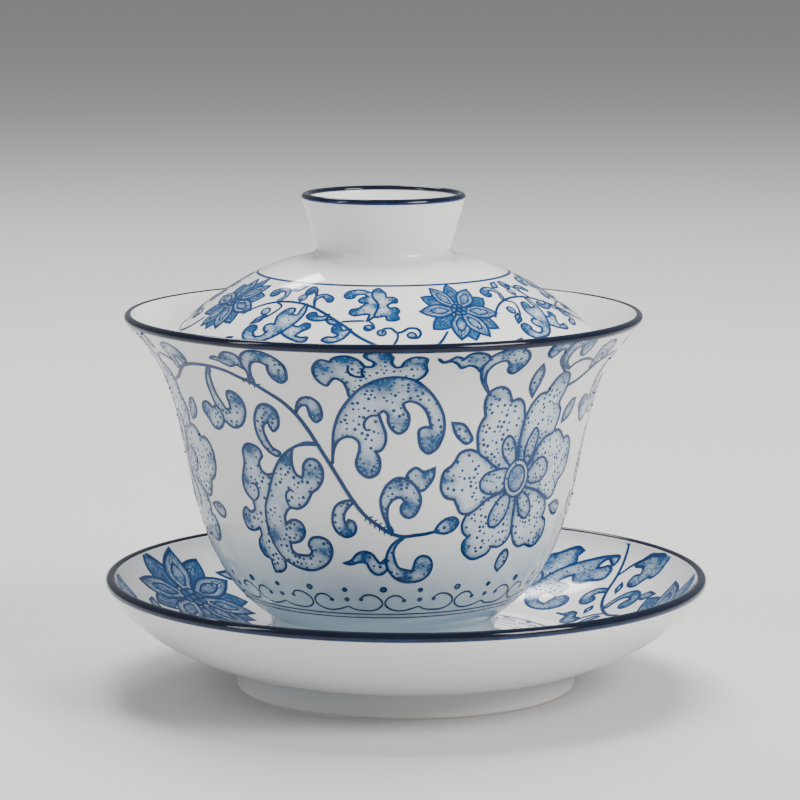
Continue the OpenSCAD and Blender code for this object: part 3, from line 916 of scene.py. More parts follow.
bowlScrolls = [
    # the great crescent and the crown of leaves over it
    ("-5.5,53.5 -5.8,55.3 -6.5,57 -7.5,57.6 -8.3,56.8 -9,55.8 -10,56.5 -10.7,58.5 -10.2,61 "
     "-9,62.3 -7.8,61.8 | -7.2,62.8 -5.3,63.5 -3.7,62.5 -2.8,60.7 | -1.7,60.7 -1.3,61.7 -2.2,62.7 "
     "-2.7,63.7 -1.7,64.5 0.3,64.5 1.3,63.3 1.2,61.7 2,60.5 2.7,60.7 | 3.3,62.3 4.5,63.2 6.2,62.7 "
     "6.2,61 6.5,59.3 5.8,57.8 5.2,57.3 2,56 -2,55",
     [(-9, 60, 1.6), (-5.5, 62, 1.4), (0, 63.3, 1.3), (5, 61.5, 1.3)]),
    ("-9.2,40 -9,43 -8.7,46 -7.5,49.7 -5.5,53 -3.3,55.7 -0.7,57.5 2,58.1 4.7,57.3 7,55 9,52 "
     "10.2,49.3 10.6,46.7 10.2,44.3 9.2,42.5 8,41.9 6.8,42.8 6.2,44.8 6.3,46.7 7.2,47.1 8.2,46.9 "
     "| 7.7,49 6.7,51 5.3,52.2 4.2,52.5 3.3,52 3.5,51 4.2,49.7 4.3,48 3.7,46.5 2.7,45.9 1.5,46.7 "
     "0.8,48.3 0.7,49.7 0,50.5 -0.8,49.8 | -0.2,47.8 0.4,45.7 0.2,43.7 -0.7,42.5 -1.4,42.4 | "
     "-0.8,41.3 -0.6,39.7 -1.2,38 -2.7,37.4 -4.2,38.3 -4.9,40 -4.6,41.5 -4.2,43 -4.4,44.3 "
     "-5.3,45.1 -6.5,45.2 -7.8,44.5 -8.7,43 -9.1,41",
     [(0, 56.3, 2.6), (8.5, 44.3, 1.8), (-2.6, 39.5, 1.7), (2.6, 48, 1.3), (5.5, 55.5, 1.6)]),
    # scrolls that leave the vine, from the left
    ("-30,58 -31.8,56 -32.7,53.7 -32.7,51 -32.2,48.3 -30.8,46.2 -29,45.3 -27,46 -25.8,47.7 "
     "-25.3,49.7 -25.8,51.7 -27,52.8 -28.2,52.8 -28.8,51.7 -28.7,50 -28.8,49.2 | -29.7,48.8 "
     "-30.5,50 -31.3,52 -31.3,54.3 -30.8,56.3 -30,57.8", [(-27, 50.8, 1.5)]),
    ("-32.3,49.3 -33.8,48.8 -34.3,49.5 -35.3,49.7 -36.5,49 -36.9,47.8 -36.2,46.8 -35.5,46 "
     "-34.7,44.8 -33.3,44.5 -32,45.3 -31.3,46.5", [(-35.5, 48, 1.2)]),
    ("-22,55.3 -22.2,57.7 -22.5,60 -21.7,62.3 -20,63.7 -18,63.7 -16.3,62.3 -15.3,60.5 -15.2,58.3 "
     "-15.7,56.5 -16.7,55.9 -17.7,56.7 -18.2,58.2 -18,60 | -19,60.8 -20.2,60.7 -21.2,59.3 "
     "-21.7,57.3 -21.9,55.3", [(-16.7, 57.5, 1.3), (-18.5, 62.5, 1.4)]),
    ("-28.3,60.5 -27.3,61.2 -26.3,60.8 | -25.7,61.8 -24.3,62.8 -23,62.5 -22.4,61.2 -22.5,60 "
     "-22.7,58.8 -23.5,59.5 -25,59 -26,59.5 -27,60.2", [(-24.5, 61, 1.2)]),
    ("-15,49.7 -14.7,51.3 -13.7,52.7 -12.3,53 -11,52 -10.5,50.3 -10.8,48.5 -11.7,47.9 -12.5,48.8 "
     "-12.8,50.3 | -13,51.2 -13.8,51.2 -14.7,50.3", [(-11.6, 49.5, 1.0)]),
    ("-19.8,40.7 -21.3,41.2 -22.7,42.5 -23.7,44.7 -23.8,47 -23,49.3 -21.7,50.7 -20.2,50.8 "
     "-19,49.8 -18.7,48 -19.2,46.2 -20.2,45.5 -20.7,46.3 -21,47.3 | -21.8,46.7 -22.2,45.7 "
     "-21.8,44 -20.8,42.2 -19.3,41.2", [(-20.3, 48.7, 1.4)]),
    ("-21.7,37 -22.7,36.8 -23.8,37.5 -24.2,39 -23.3,40.3 | -23.7,41.5 -25,42.3 -26.7,42.3 "
     "-27.7,41.2 -27.8,38.7 -28.5,36.7 -29,34.7 -28.5,32.7 -27,31.3 | -27,29.5 -28.2,29 "
     "-29.3,29.7 -30.3,28.7 -30.5,27 -29.7,25.5 -28,25.3 -26.5,26 | -26.3,24.7 -27.3,23.2 "
     "-27.5,21.7 -26.7,20.3 -25.3,19.7 -25.2,18.3 -25,17 | -23.3,17.2 -21.8,18.3 -21.5,20.2 "
     "-22,28 -22,34", [(-26, 41, 1.3), (-29.3, 27.3, 1.2), (-26.5, 21.5, 1.2), (-28, 35, 1.3)]),
    ("-11.7,43.5 -14,43.7 -15.7,43 -17.7,41.8 -19.3,40.3 -21,37.7 -22.2,35 -23.3,32.3 -24,30.7 "
     "-24.3,28.3 -24.2,25.3 -23.3,22.7 -21.7,20.3 -20,19.2 -17.3,18.3 -15,18.3 -12.7,19.2 "
     "-11,20.8 -10.4,22.7 -11,24.5 -12.8,25.3 -14.7,24.8 -15.3,23.5 -14.7,22.3 | -15.2,21.6 "
     "-17,21.3 -18.5,21.5 -19.3,22.3 -19.3,23.7 | -18.3,23.8 -16.7,24.5 -15.8,26.2 -16.3,27.8 "
     "-17.7,28.4 -19,28 -19.8,27.3 | -19.8,28.7 -19.2,30 -18.3,30.8 | -16.7,30.7 -15,31.7 "
     "-14,33.2 | -13.7,33.8 -12.3,35 -11.3,36.7 -11.3,39 -12.5,40.5 -13.8,40.5 -14.8,39.3 "
     "-15,37.7 -15.3,36.8 | -16.3,37.3 -17,39 -17,41 -16.7,42.3",
     [(-12.5, 22.5, 1.8), (-17.3, 26.3, 1.3), (-13, 38, 1.6), (-22.8, 25, 1.8), (-18.5, 40, 1.4)]),
    ("4.2,37 4.7,38.5 5.8,39.2 7.3,38.4 9.3,39 | 9.2,37.3 8.3,35.7 7.2,34.7 6.3,35 5,36.6",
     [(7.5, 37.2, 1.2)]),
    ("1.7,26.3 0.5,28.7 -0.3,31 -0.5,33.3 -0.3,34 0.7,36 2.7,37.3 4.7,36.7 6.3,35 7,32.7 6.7,31.3 "
     "5.7,29.8 4.7,29.5 3.5,30.3 3.3,31.7 4,32.7 | 3.2,33.5 2,33.2 1,32 0.7,30 1,28.3 1.8,26.7",
     [(5, 31.8, 1.5), (2.7, 36, 1.4)]),
    ("-5.5,32.7 -7.3,32.7 -9,31.7 -9.8,29.7 -9.7,27.7 -8.7,26.2 -7.2,25.6 -5.7,26.3 -5.3,27.7 "
     "-5.8,28.7 -6.7,29 | -7.2,28.2 -7.6,29.2 -7.2,30.7 -6.3,31.8", [(-7, 27, 1.2)]),
    ("10,26.5 | 10.7,27.8 12.3,29 14,29.1 14.8,28.2 14,26.8 12.3,26.1", [(13.5, 28, 1.2)]),
    ("4,25.5 2.7,25 1.3,23.5 0.6,21.7 0.8,19.3 2,17.5 4,16.3 6.3,16.1 8.7,16.8 10,18.5 10,20.3 "
     "9,21.5 7.8,21.7 6.7,21 6.3,19.7 6,18.5 | 4.7,18.8 3.2,19.3 2.3,21 2,22.7 2.7,24.3",
     [(8.2, 19.5, 1.5), (4.5, 17.3, 1.5)]),
    ("-8.2,20.2 | -6.7,20.7 -5.3,22.2 -4,22.7 -2.3,22.2 -1.2,20.8 -0.7,20.3 0.2,21 | 0.7,19 "
     "-0.3,18 -1.7,18 -2.8,19 -3.5,20.3 -5,20.5 -6.7,20", [(-3.7, 21.5, 1.1)]),
    ("17.5,53.8 16,56 15.2,58.7 15.3,61 16.3,63 18,64.2 20.3,64.3 22,63 22.7,61 22.2,59 20.8,57.7 "
     "19.8,58.5 19.7,60 | 18.7,61.2 17.3,60.7 16.3,59 16.3,56.7 17.2,54.5",
     [(21.2, 59.7, 1.3), (18.5, 63, 1.3)]),
    ("7.8,62.8 | 8.8,61.7 9.8,62.3 10.5,63 11.7,62.3 | 12.7,63.7 14,63.8 15.3,63 15.8,62.2 "
     "15.3,60.5 14.8,59 | 14,60 12.8,60.5 11.8,59.9 11,61 10,61.8 8.8,61.5", [(13.8, 62, 1.2)]),
    ("32.3,56.8 31,58.3 30.2,60 29.8,62 29.3,64.3 27.8,64.5 26.2,64.7 25.8,63.3 26.2,61.7 "
     "27.2,60.9 27.8,61.7 28.5,62.8 29.3,62.7 | 29.6,60 31,58", [(27, 63.3, 1.2)]),
    ("33.2,57.2 31.7,58.7 31.2,60.7 31.5,62.3 32.5,63.2 33.2,62 33.8,60.7 34.8,60.2 35.5,61.3 "
     "35.4,63.3 35,64.5 30.4,64.5 30.2,60 32.3,57.5", [(33.5, 63.6, 1.3)]),
    ("-39.5,56.4 -40,59.3 -40.2,61.3 -38.7,62.7 -36.7,62.5 -35.3,61 -35.2,59 -36.2,57.7 "
     "-37.2,58.3 -37.7,59.3 | -38.3,59.5 -38.5,58 -38.6,56.8", [(-36.3, 59.8, 1.2)]),
]
bowlVine = [
    ("-44.4,53 -41.8,54 -39.7,55.5 -37.3,57.2 -35,58 -32,58.4 -29.3,58.3 -26.7,57.7 -24,56.3 "
     "-22,55.3 -20,53.8 -17.3,51.7 -15.2,49.3 -13.3,46.3 -11.7,43.3 -10,40.3 -8.3,37.3 -6,33.3 "
     "-3.3,29.8 -1,28 1.3,26.5 3.7,25.8 6.3,26 8.3,26.2 9.8,26.5", 0.74, 0.2),
    ("33.2,57.2 34,58.3 35.7,59 37.7,58.8 39.7,58", 0.6, 0.5),
    ("-0.8,49.5 -1.8,49.6 -3,48.7 -3.3,47.3 -2.9,46.6 -2.1,46.7", 0.5, 0.6),
    ("-5.2,60.7 -5.3,59.3 -4.3,58.2 -3,58.2 -3.3,59.3 -2.8,60.5", 0.5, 0.5),
    ("-18.3,30.7 -19,32.3 -18.7,33.8 -17.8,34.3 -17.2,33.8", 0.5, 0.6),
    ("-26.7,31.2 -25.5,32.3 -25.3,33.8 -26.2,34.8 -27,34.5", 0.5, 0.6),
]
leaflets = [
    "12,47.7 | 14,47.3 15.3,45.7 16,44 15,43.4 13.7,44.3 12.5,46",
    "26.2,59.3 | 27.4,57 27.5,54.7 26.9,51.7 | 25.7,53.7 25.5,56.7",
    "40,49.7 | 40.2,48 39,46 37.3,45.3 | 37.2,46.3 38,48.7 39,49.6",
    "38.7,28.8 | 40.3,29.3 42,29.2 43.3,28 42.7,26.8 41.3,26.7 39.7,27.7",
    "27.5,21.4 28.4,20.3 28.2,18.7 26.7,16.9 | 25.6,18 25.7,19.7 26.5,21",
]


def thorns(brush, text, start, end, gap=0.55, reach=0.9, width=0.32):
    # short hairs across a stem, as where tendrils leave it
    line = strokeOf(text)
    run = along(line)
    for number, at in enumerate(np.arange(start, min(end, run[-1] - 0.4), gap)):
        spot = np.array([np.interp(at, run, line[:, 0]), np.interp(at, run, line[:, 1])])
        ahead = np.array([np.interp(at + 0.3, run, line[:, 0]), np.interp(at + 0.3, run, line[:, 1])])
        way = (ahead - spot) / max(np.linalg.norm(ahead - spot), 1e-6)
        side = np.array([-way[1], way[0]]) * (1 if number % 2 else -1)
        hair = np.array([spot, spot + side * reach * 0.55 + way * 0.2, spot + side * reach + way * 0.5])
        brush.lines.ribbon(hair, width, layer["base"] + layer["line"], False, 0.5)


def paintBowl():
    brush = Brush(bowlSurface)
    for text, width, taper in bowlVine:
        brush.stroke(text, 4, width, taper)
    for number, (text, spots) in enumerate(bowlScrolls):
        brush.shape(text, number % 2 + 1, 0.2, 0.5, spots)
    for text in leaflets:
        brush.shape(text, 1, 0.4, 0.4)
    for level, (text, spots) in enumerate(flowerOnBowl):
        brush.shape(text, level // 2 + 1 + level % 2, 0.14, 0.65, spots, width=0.56)
    for level, text in enumerate(innerPetals):
        brush.shape(text, 5, 0.35, 0.45, dots="upper", width=0.48)
    brush.blot(26.7, 35.7, 2.9, 3.6, 6, 0.35)
    brush.blot(26.7, 35.7, 2.0, 2.6, 7, 0.75)
    thorns(brush, bowlVine[0][0], 56.5, 61.5)
    thorns(brush, bowlVine[0][0], 22.5, 25.5)
    # the unit spans a third of the way round; its neighbours' ends meet it
    painted("bowlWash", brush.wash, "bowl", "wash", bowlUnits)
    painted("bowlLines", brush.lines, "bowl", "line", bowlUnits)
    stippled("bowlDots", brush.dots, "bowl", bowlUnits, 0.74, 0.31, 3)
    stippled("bowlPetalDots", brush.upperDots, "bowl", bowlUnits, 0.64, 0.27, 4)


border = dict(count=14, low=6.7, high=7.8)
borderCurls = [
    "-5.2,12.3 -4.2,13 -3,13.1 -1.5,12.6 -0.4,11.5 -0.3,10.6 -1.2,9.5 -3,8.9 -5,8.9 -7,9.2 -8.5,10",
    "4.7,12 3.6,12.8 2.3,12.9 1,12.2 0.4,11.2 0.6,10.3 1.8,9.3 4,8.8 6,9.1 8.5,10",
]
borderDots = [(0, 14.4, 0.62), (8.3, 14.2, 0.42), (8.5, 11.8, 0.42), (-5.2, 11.9, 0.32), (4.8, 11.6, 0.32)]


def paintBowlBorder():
    brush = Brush(bowlSurface, 0.5)
    half = math.pi * bowlSurface.refR / border["count"]
    for y in (border["low"], border["high"]):
        line = np.stack([np.linspace(-half, half, 40), np.full(40, y)], 1)
        brush.lines.ribbon(line, 0.34, 0.04)
    strip = np.array([[x, y] for y, xs in ((border["low"], np.linspace(-half, half, 24)),
                                           (border["high"], np.linspace(half, -half, 24))) for x in xs])
    brush.wash.fill(strip, 0.015, 0.25, 0.1)
    for text in borderCurls:
        brush.stroke(text, 1, 0.45, 0.3)
    for x, y, size in borderDots:
        brush.blot(x, y, size, size * 0.8, 1, 0.8)
    painted("bowlBorderWash", brush.wash, "bowl", "wash", border["count"])
    painted("bowlBorderLines", brush.lines, "bowl", "line", border["count"])


paintBowl()
paintBowlBorder()
print("bowl painted")


# the lid's painting: unrolled round the dome, from its edge up
def leafOutline(base, tip, wide, belly=0.5, blunt=0.0, point=0.4):
    # a lens from base to tip, round at the base where blunt is over nothing
    base, tip = np.array(base, float), np.array(tip, float)
    way = tip - base
    side = np.array([-way[1], way[0]]) / np.linalg.norm(way) * wide / 2
    neck, middle = base + way * 0.82, base + way * belly
    up = smoothRun(np.array([base - side * blunt, middle - side, neck - side * point, tip]), 0.45)
    down = smoothRun(np.array([tip, neck + side * point, middle + side, base + side * blunt]), 0.45)
    return np.vstack([up[:-1], down[:-1] if not blunt else down])


blossomAngles = dict(front=(-12, 47, 119, 180, 254, 293), back=(20, 82, 148, 217, 272, 316))


def blossom(brush, centre, radius, level, change=None, swing=0.0, tone=0.3, centreSize=1.7):
    def laid(outline):
        return change(outline) if change is not None else outline

    def veins(way, start, end, spread, count, lift):
        # fine brush lines that fan along a petal
        side = np.array([-way[1], way[0]])
        for at in np.linspace(-spread, spread, count):
            reach = end - abs(at) / spread * (end - start) * 0.3
            across = side * at
            line = centre + np.array([way * start + across * 0.35, way * (start + reach) / 2 + across,
                                      way * reach + across * 0.45])
            brush.lines.ribbon(laid(smoothRun(line, 0.5)), 0.2, lift, False, 0.6)

    def petal(way, start, end, wide, *form):
        reach = way * radius
        return laid(leafOutline(centre + reach * start, centre + reach * end, radius * wide, *form))

    centre = np.array(centre, float)
    above = layer["base"] + layer["line"]
    for angle in blossomAngles["back"]:
        way = slope(angle + swing)
        brush.patch(petal(way, 0.3, 1, 0.42, 0.45, 0.4, 0.55), level, min(tone + 0.45, 1), 0.3, dots=False)
        veins(way, radius * 0.45, radius * 0.9, radius * 0.12, 4, above + layer["step"] * level)
    for number, angle in enumerate(blossomAngles["front"]):
        way = slope(angle + swing)
        brush.patch(petal(way, 0.14, 1, 0.44, 0.5, 0.35, 0.55), level + 1 + number % 2, tone, 0.5,
                    dots=False)
        veins(way, radius * 0.6, radius * 0.95, radius * 0.08, 3, above + layer["step"] * (level + 2))
        brush.patch(petal(way, 0.28, 0.76, 0.22, 0.5, 0.2, 0.55), level + 3, min(tone + 0.15, 1), 0.3,
                    width=brush.width * 0.7)
    for number in range(7):
        spot = centre + (0 if number == 0 else centreSize * 0.6) * slope(number * 60)
        turn = np.linspace(0, 2 * np.pi, 14, endpoint=False)
        outline = spot + centreSize * 0.36 * np.stack([np.cos(turn), np.sin(turn)], 1)
        brush.patch(laid(outline), level + 4, 0.8, 0.3, dots=False, width=brush.width * 0.8)


lidSurface = Turned(lidDome, bowlX, bowlZ, 32)
lidUnits = 4
lidScrolls = [
    ("-23.2,16.6 -21.9,18.5 -22.4,20.1 -23.9,20.8 -25.8,20.5 -27.2,19.3 -26.75,18.2 -25.5,18 "
     "-24.7,18.7 | -24.7,19.6 -23.6,19.6 -22.7,18.5 -23.3,16.9", [(-25.7, 19, 1.2)]),
    ("-13.9,16.2 -14.7,17.6 -14.9,19 -13.6,19.75 -12.1,19.6 -10.7,18.5 -10.8,17.7 -11.6,17.6 "
     "-12.2,18.2 | -13.6,19 -14.25,18.2 -14.1,16.6", [(-11.5, 18.4, 1)]),
    ("-14.9,19 -15.2,20.1 -16.1,21.5 -17.4,21.9 -18.2,21 -18,19.75 -17.1,19.3 -16.3,19.75 | "
     "-16.6,20.7 -15.6,20", [(-17.2, 20.5, 1)]),
    ("-15.8,16.6 -15.2,15.1 -15.3,12.9 -16.4,10.4 -18,8.2 -19.9,6.6 -21.75,6.2 -23.6,6.3 "
     "-24.7,7.25 -25,8.5 -24.6,9.6 -23.3,9.8 -22.75,9.1 -23,8.2 | -22.1,7.25 -20.8,7.6 -20.3,8.5 "
     "| -21.1,9 -21.4,10.1 -20.5,10.7 -19.7,10.5 | -20,11.6 -20.3,12.6 -19.9,14 -18.9,15.1 "
     "-17.8,15.1 -17.4,14.4 -17.8,13.5 | -16.4,13.5 -16.3,15",
     [(-24, 8.5, 1.2), (-19, 13.8, 1.1), (-18.5, 9.3, 1.2)]),
    ("-16.4,10.7 -14.9,10.5 -13.9,11.5 -13,11.3 -12.8,10.4 -13.9,9.4 -14.6,8.2 -13.6,7.9 -12.5,8 "
     "-12.5,7.25 -13.3,6.8 -14.4,7.1 -16.75,8.2 -17.6,8.9", [(-13.4, 10.6, 0.9)]),
    ("-10.2,14.1 -10.3,12.9 -12.1,12.25 -13.6,12.6 -14.4,13.5 -13.9,14.3 -12.8,14.3 -12.4,13.5 | "
     "-11.2,13.4", [(-13.4, 13.5, 1)]),
    ("-5.5,10.4 -6.9,10.1 -7.6,11.3 -8.6,11 -8.5,9.6 -7.4,8.9 -8,8.3 | -9.4,8.2 -9.9,7.6 -8.6,7 "
     "-7,7.6 -6,8.8", [(-8, 10.3, 0.9)]),
    ("-2.5,20 -2.2,21.6 -1.1,22.1 -0.2,21.3 0.5,20.4 0.6,19.3 1.9,19.3 2.8,18.7 2.7,17.7 1.6,17.6 "
     "0.8,16.9 1.1,16.2 2.5,16.2 3,15.2 2.5,14.3 2.8,13.2 1.9,12.7 0.6,13 0.5,13.8 -1.5,13.6 "
     "-1,17", [(-1.2, 21, 1), (2, 18.4, 0.9), (2, 15, 1), (1.8, 13.3, 0.8)]),
    ("-2.9,12.6 -1.9,13.5 -0.8,15.7 -0.5,17.9 -1.4,19.75 -3,20.8 -4.9,21.5 -6.75,21.4 -8.3,20.7 "
     "-8.6,19.6 -7.7,18.8 -6.4,19 -6,19.9 | -4.25,20.2 -3.3,19.4 | -4.25,19.3 -5.2,18.3 -4.6,17.6 "
     "-3.3,17.7 | -4.25,16.6 -5,16 -6.3,15.5 -6.4,14.6 -5.5,14 -3.9,14.3 -2.7,14.4",
     [(-7.3, 20, 1.2), (-4, 18.4, 0.9), (-5.3, 15, 1.1), (-1.7, 17, 1)]),
]
lidStems = [
    ("-28.9,12.2 -27.5,14 -25.5,15.5 -23,16.5 -20,16.9 -17,16.7 -14,15.8 -11,14.2 -8.5,12.5 "
     "-6.5,11 -4.5,9 -3,7.8 0,6 3,4.8 6,5 8.6,6.6 10.8,9.6", 0.55),
    ("-23.2,16.5 -21.1,15.4 -21.75,13.5 -23,11.9 -24.7,10.8", 0.42),
    ("-7.4,12.25 -5.5,12.5 -3.3,12.6", 0.45),
    ("-2.6,12.6 -1.75,11.6 -1.6,10.7 -2.4,10.4 -3.2,11", 0.42),
    ("-17.8,18.3 -17.8,16.9", 0.42),
    ("1.25,6 2.3,8.5 2.3,9.8", 0.42),
    ("-0.2,9.4 0,10.5 1.25,10.7 2.3,9.6 3,9.75 4.4,10.7 5.8,10.4 6.1,9.1 5.3,8.2 4.2,8.5", 0.5),
]
# each leaf from its base to its tip, with its width
lidLeaves = [
    ((-22.2, 20.3), (-19, 21.9), 1.4),
    ((-22.9, 12.6), (-24.9, 10.2), 1.3),
    ((-10.4, 12.6), (-7.7, 11.6), 1.2),
    ((23.6, 6.5), (21.9, 5), 1.0),
]
lidBuds = [(-23.8, 13.7, 0.9), (-17.8, 18.4, 0.9), (-2.6, 10.8, 0.7), (-0.3, 9.6, 0.7), (4.6, 8.9, 0.7)]
lidRings = [(23.0, 0.58), (2.2, 0.45)]


def paintLid():
    brush = Brush(lidSurface, 0.48)
    for text, width in lidStems:
        brush.stroke(text, 3, width, 0.3)
    for number, (text, spots) in enumerate(lidScrolls):
        brush.shape(text, number % 2 + 1, 0.3, 0.5, spots, reach=0.6)
    for base, tip, wide in lidLeaves:
        brush.patch(leafOutline(base, tip, wide), 1, 0.45, 0.3, dots=False)
    for x, y, size in lidBuds:
        brush.blot(x, y, size, size, 2, 0.6)
    blossom(brush, (14.8, 15), 7.8, 1, tone=0.4)
    half = math.pi * lidSurface.refR / lidUnits
    for y, width in lidRings:
        ring = np.stack([np.linspace(-half, half, 60), np.full(60, y)], 1)
        brush.lines.ribbon(ring, width, 0.03)
    painted("lidWash", brush.wash, "lid", "wash", lidUnits)
    painted("lidLines", brush.lines, "lid", "line", lidUnits)
    stippled("lidDots", brush.dots, "lid", lidUnits, 0.62, 0.18, 5)


paintLid()
print("lid painted")


# the saucer's painting: seen from above, about the saucer's own axis
saucerWell = saucerInner[saucerInner[:, 0] > saucer["footTopR"] - 0.01]
saucerSurface = Turned(np.vstack([[[0, saucerInner[0][1]], [20, saucerInner[0][1]]], saucerInner]), 0, 0)
saucerScrolls = [
    ("24.5,34 25.5,37 27,39.5 28.5,41.5 29.5,42.5 31.5,42 33.5,41.5 35.5,40.5 36.3,39.2 | 35,39 "
     "34.8,38 33.5,37.7 31,37 27.5,36 25,33.5", [(29.5, 41, 1.8), (35, 40, 1.2)]),
    ("43,31.5 41,34 38,36 34.5,37.5 31,38 27.5,37 25,34.5 24.2,31.5 24.8,28.5 26.8,26 29.5,25 "
     "31.8,25.6 32.6,27.3 31.8,29 30,29.3 29,28.8 | 28,28 27,29 26.6,31 27.5,32.3 28.8,32.5 | "
     "29.8,31 31.5,30.8 32.7,31.7 32.3,33.2 31,34.2 29.8,33.8 | 31.5,35 34,34.5 33.8,33.2 35,31.5 "
     "37,30.8 | 38,30 40,29 41.3,30 40.8,31.8 39.5,32.5 38.7,33.2 | 39.5,33.7 41,33.6 42,31",
     [(30.5, 27.2, 2), (31, 32.3, 1.5), (26, 31, 1.6), (36, 33.5, 2)]),
    ("40.2,24.3 39.3,25.9 37.8,26.7 36,26.4 34.9,25 35,23.3 36.2,22.4 37.5,22.9 37.6,24 | "
     "37.2,24.8 38.5,24.9 40,24", [(36.3, 24, 1.4)]),
    ("30,22.4 | 31.3,20.9 33,21 33.8,19.8 33.4,17.8 34.2,16.2 33,15.2 31.2,15.3 30.5,16.8 31,18.3 "
     "31.8,19.5 31.2,20.5", [(32.3, 16.8, 1.6), (32.6, 19.5, 1.2)]),
    ("37.5,14.6 35.5,14.8 33.8,13.6 33.2,11.8 | 34.5,10.2 36.4,10 37.3,11 36.4,12 35.5,11.8 | "
     "36,13.4 38,13.8", [(36.2, 11, 1.2)]),
    ("39.2,17.3 41,19 43,19.3 45,18.3 46,16.5 46,15 45,13.4 43.3,13 42,14 42.2,15.7 43.4,16 "
     "44.2,15.6 | 44,17 42.5,18 40.8,17.6 39.3,17", [(43.2, 14.5, 1.4), (45, 17, 1)]),
    ("46,26.3 47.3,23.5 46.6,22.6 | 45.3,23.6 44.3,22.8 44.3,21.3 45.5,20 47,20 48,19.8 | "
     "48.5,18.7 50,18.2 51.3,18.7 | 52,18.6 51.3,20.8 50.1,23 48.5,25.3",
     [(45.5, 21.5, 1.3), (50, 20.5, 1.5)]),
]
saucerStems = [
    ("45,32.3 43.8,29.8 42.3,27.3 40.3,24.3 39.2,21.5 38.8,18.5 39,15.5 39.6,13 41.5,10.5", 0.7),
    ("42.5,27.3 45,27.2 47.5,25.8 49.5,24", 0.55),
    ("39,14.5 37,15.8 35,16.1 33,15.3", 0.5),
    ("45,32.3 44.6,34 43.2,35.5", 0.6),
]
saucerLeaves = [
    ((45.6, 15), (48.6, 11), 1.9),
    ((37, 20.5), (35.4, 18.4), 1.3),
    ((43, 24), (41.8, 21.6), 1.2),
]
layout = dict(flowers=(-3, 155, 256), flowerRun=15.4, flowerSize=13.2, mirror=76,
              turns=(0, 158, 259), fillerTurns=(37, 50, 63, 195, 208, 296, 309))


def turning(degrees, mirrored=False):
    a = math.radians(degrees)
    if mirrored:
        matrix = np.array([[math.cos(2 * a), math.sin(2 * a)], [math.sin(2 * a), -math.cos(2 * a)]])
    else:
        matrix = np.array([[math.cos(a), -math.sin(a)], [math.sin(a), math.cos(a)]])
    return lambda points: np.asarray(points) @ matrix.T


def upTheDish(degrees, reach):
    # turns a small flat drawing to lie on the dish, its middle at reach up the curve from the well
    run = along(saucerWell)
    middleR = np.interp(reach, run, saucerWell[:, 0])

    def change(points):
        r = np.interp(reach + points[:, 1], run, saucerWell[:, 0])
        r = np.where(reach + points[:, 1] < 0, saucerWell[0][0] + reach + points[:, 1], r)
        angle = math.radians(degrees) - points[:, 0] / middleR
        return np.stack([r * np.cos(angle), r * np.sin(angle)], 1)
    return change


def paintSaucer():
    brush = Brush(saucerSurface, 0.58, 0.35)
    changes = [turning(a) for a in layout["turns"]] + [turning(layout["mirror"], True)]
    for change in changes:
        for text, width in saucerStems:
            brush.stroke(text, 3, width, 0.3, change=change)
        for number, (text, spots) in enumerate(saucerScrolls):
            moved = [(*change([(x, y)])[0], size) for x, y, size in spots]
            brush.shape(text, number % 2 + 1, 0.45, 0.4, moved, change=change, reach=1.0)
        for base, tip, wide in saucerLeaves:
            brush.patch(change(leafOutline(base, tip, wide)), 1, 0.5, 0.3, dots=False)
    for degrees in layout["fillerTurns"]:
        change = turning(degrees)
        for text, spots in (saucerScrolls[2], saucerScrolls[5], saucerScrolls[3]):
            moved = [(*change([(x, y)])[0], size) for x, y, size in spots]
            brush.shape(text, 1, 0.45, 0.4, moved, change=change)
        brush.stroke("41.6,26 40.3,24.3 39.2,21.5 38.8,18.5 39,15.5 39.8,13.8", 3, 0.6, 0.5, change=change)
    for degrees in layout["flowers"]:
        laidUp = upTheDish(degrees, layout["flowerRun"])
        blossom(brush, (0, 0), layout["flowerSize"], 3, laidUp, swing=20, tone=0.5, centreSize=3.0)
    painted("saucerWash", brush.wash, "saucer", "wash")
    painted("saucerLines", brush.lines, "saucer", "line")
    stippled("saucerDots", brush.dots, "saucer", 1, 0.72, 0.26, 7)


well = dict(count=15, inner=24.4, outer=30.6, disc=21.5, discWidth=2.8)


def paintWell():
    # a ring of small scrolls on the flat of the well, and the broad ring that the foot stands in
    brush = Brush(saucerSurface, 0.42)
    pitch = 2 * math.pi / well["count"]

    def change(points):
        angle = points[:, 0] / 17.05 * pitch
        r = well["inner"] + 0.9 + (points[:, 1] - 8.5) * 0.8
        return np.stack([r * np.cos(angle), r * np.sin(angle)], 1)

    for text in borderCurls:
        brush.stroke(text, 1, 0.45, 0.3, change=change)
    for x, y, size in ((0, 14.4, 0.5), (8.3, 14.2, 0.45), (8.4, 11.9, 0.4)):
        spot = change(np.array([(x, y)]))[0]
        brush.blot(spot[0], spot[1], size, size, 1, 0.9)
    broad = well["discWidth"]
    for r, width in ((well["inner"], 0.4), (well["outer"], 0.5), (well["disc"] - broad / 2, broad)):
        turn = np.linspace(-pitch / 2, pitch / 2, 24)
        brush.lines.ribbon(np.stack([r * np.cos(turn), r * np.sin(turn)], 1), width, 0.03)
    painted("saucerWellWash", brush.wash, "saucer", "wash", well["count"])
    painted("saucerWellLines", brush.lines, "saucer", "line", well["count"])


paintSaucer()
paintWell()
print("saucer painted")


# floor and light
studio = dict(
    floor=rgb(0.62, 0.62, 0.61),
    floorGrain=rgb(0.68, 0.68, 0.67),
    floorHole=0.0322,
    floorReach=25,
    floorSides=96,
    floorGap=0.00005,
    world=rgb(0.90, 0.93, 0.97),
    worldPower=0.34,
)
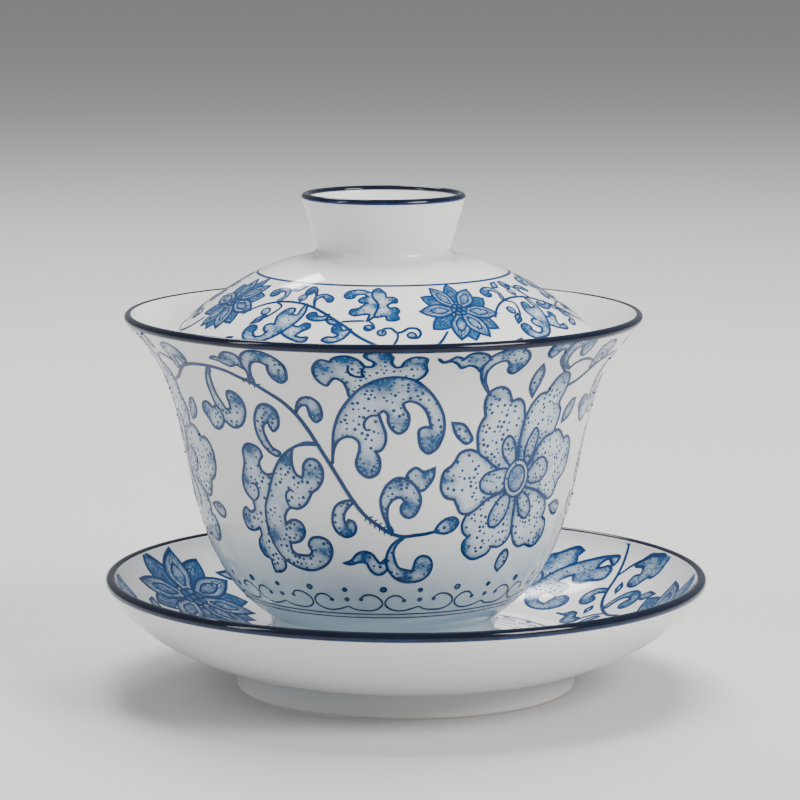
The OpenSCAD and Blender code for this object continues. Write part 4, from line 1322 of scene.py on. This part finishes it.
# place, size, power, colour and whether the glaze mirrors it
lamps = dict(
    keyLight=((0.80, -0.60, 0.68), (0.5, 0.5), 14.0, (1.0, 0.985, 0.96), True),
    softLight=((0.05, 0.30, 1.0), (0.6, 0.6), 15.0, (1.0, 0.99, 0.98), False),
    topLight=((-0.20, 0.74, 0.78), (0.30, 0.14), 2.6, (1.0, 1.0, 1.0), True),
    fillLight=((-0.75, -0.35, 0.45), (0.14, 0.6), 2.2, (0.93, 0.96, 1.0), True),
)


def makeFloor():
    # a broad ring that is open under the foot, which lets light in to the underside
    sides = studio["floorSides"]
    turn = np.linspace(0, 2 * np.pi, sides, endpoint=False)
    low = cadBounds[0][2] - studio["floorGap"]
    rings = (studio["floorHole"], studio["floorReach"])
    points = [(r * math.cos(a), r * math.sin(a), low) for r in rings for a in turn]
    faces = [(i, sides + i, sides + (i + 1) % sides, (i + 1) % sides) for i in range(sides)]
    mesh = bpy.data.meshes.new("studioFloor")
    mesh.from_pydata(points, [], faces)
    floor = linked("studioFloor", mesh)
    shader = Shader("floorPaper", {"Roughness": 0.75})
    grain = shader.noise(900, 3)
    shader.feed("Base Color", shader.mix(grain, studio["floor"], studio["floorGrain"]))
    # clear from below, so that the underside of the foot can be looked at
    behind = shader.node("ShaderNodeNewGeometry", out="Backfacing")
    clear = shader.node("ShaderNodeBsdfTransparent")
    whole = Wire(shader, shader.base.outputs[0])
    both = shader.node("ShaderNodeMixShader", None, {0: behind, 1: whole, 2: clear})
    shader.tree.links.new(both.socket, shader.tree.nodes["Material Output"].inputs[0])
    mesh.materials.append(shader.material)


def areaLight(name, aim, place, size, power, colour, mirrored):
    lamp = bpy.data.lights.new(name, "AREA")
    lamp.shape = "RECTANGLE"
    lamp.size, lamp.size_y = size
    lamp.energy = power
    lamp.color = colour
    made = linked(name, lamp)
    made.location = place
    made.rotation_euler = (Vector(aim) - Vector(place)).to_track_quat("-Z", "Y").to_euler()
    made.visible_glossy = mirrored


def makeLight():
    world = bpy.data.worlds.new("studio")
    world.use_nodes = True
    background = world.node_tree.nodes["Background"]
    background.inputs["Color"].default_value = studio["world"]
    background.inputs["Strength"].default_value = studio["worldPower"]
    bpy.context.scene.world = world
    middle = (bowlX * mm, 0, 0.04)
    for name, lamp in lamps.items():
        areaLight(name, middle, *lamp)


makeFloor()
makeLight()
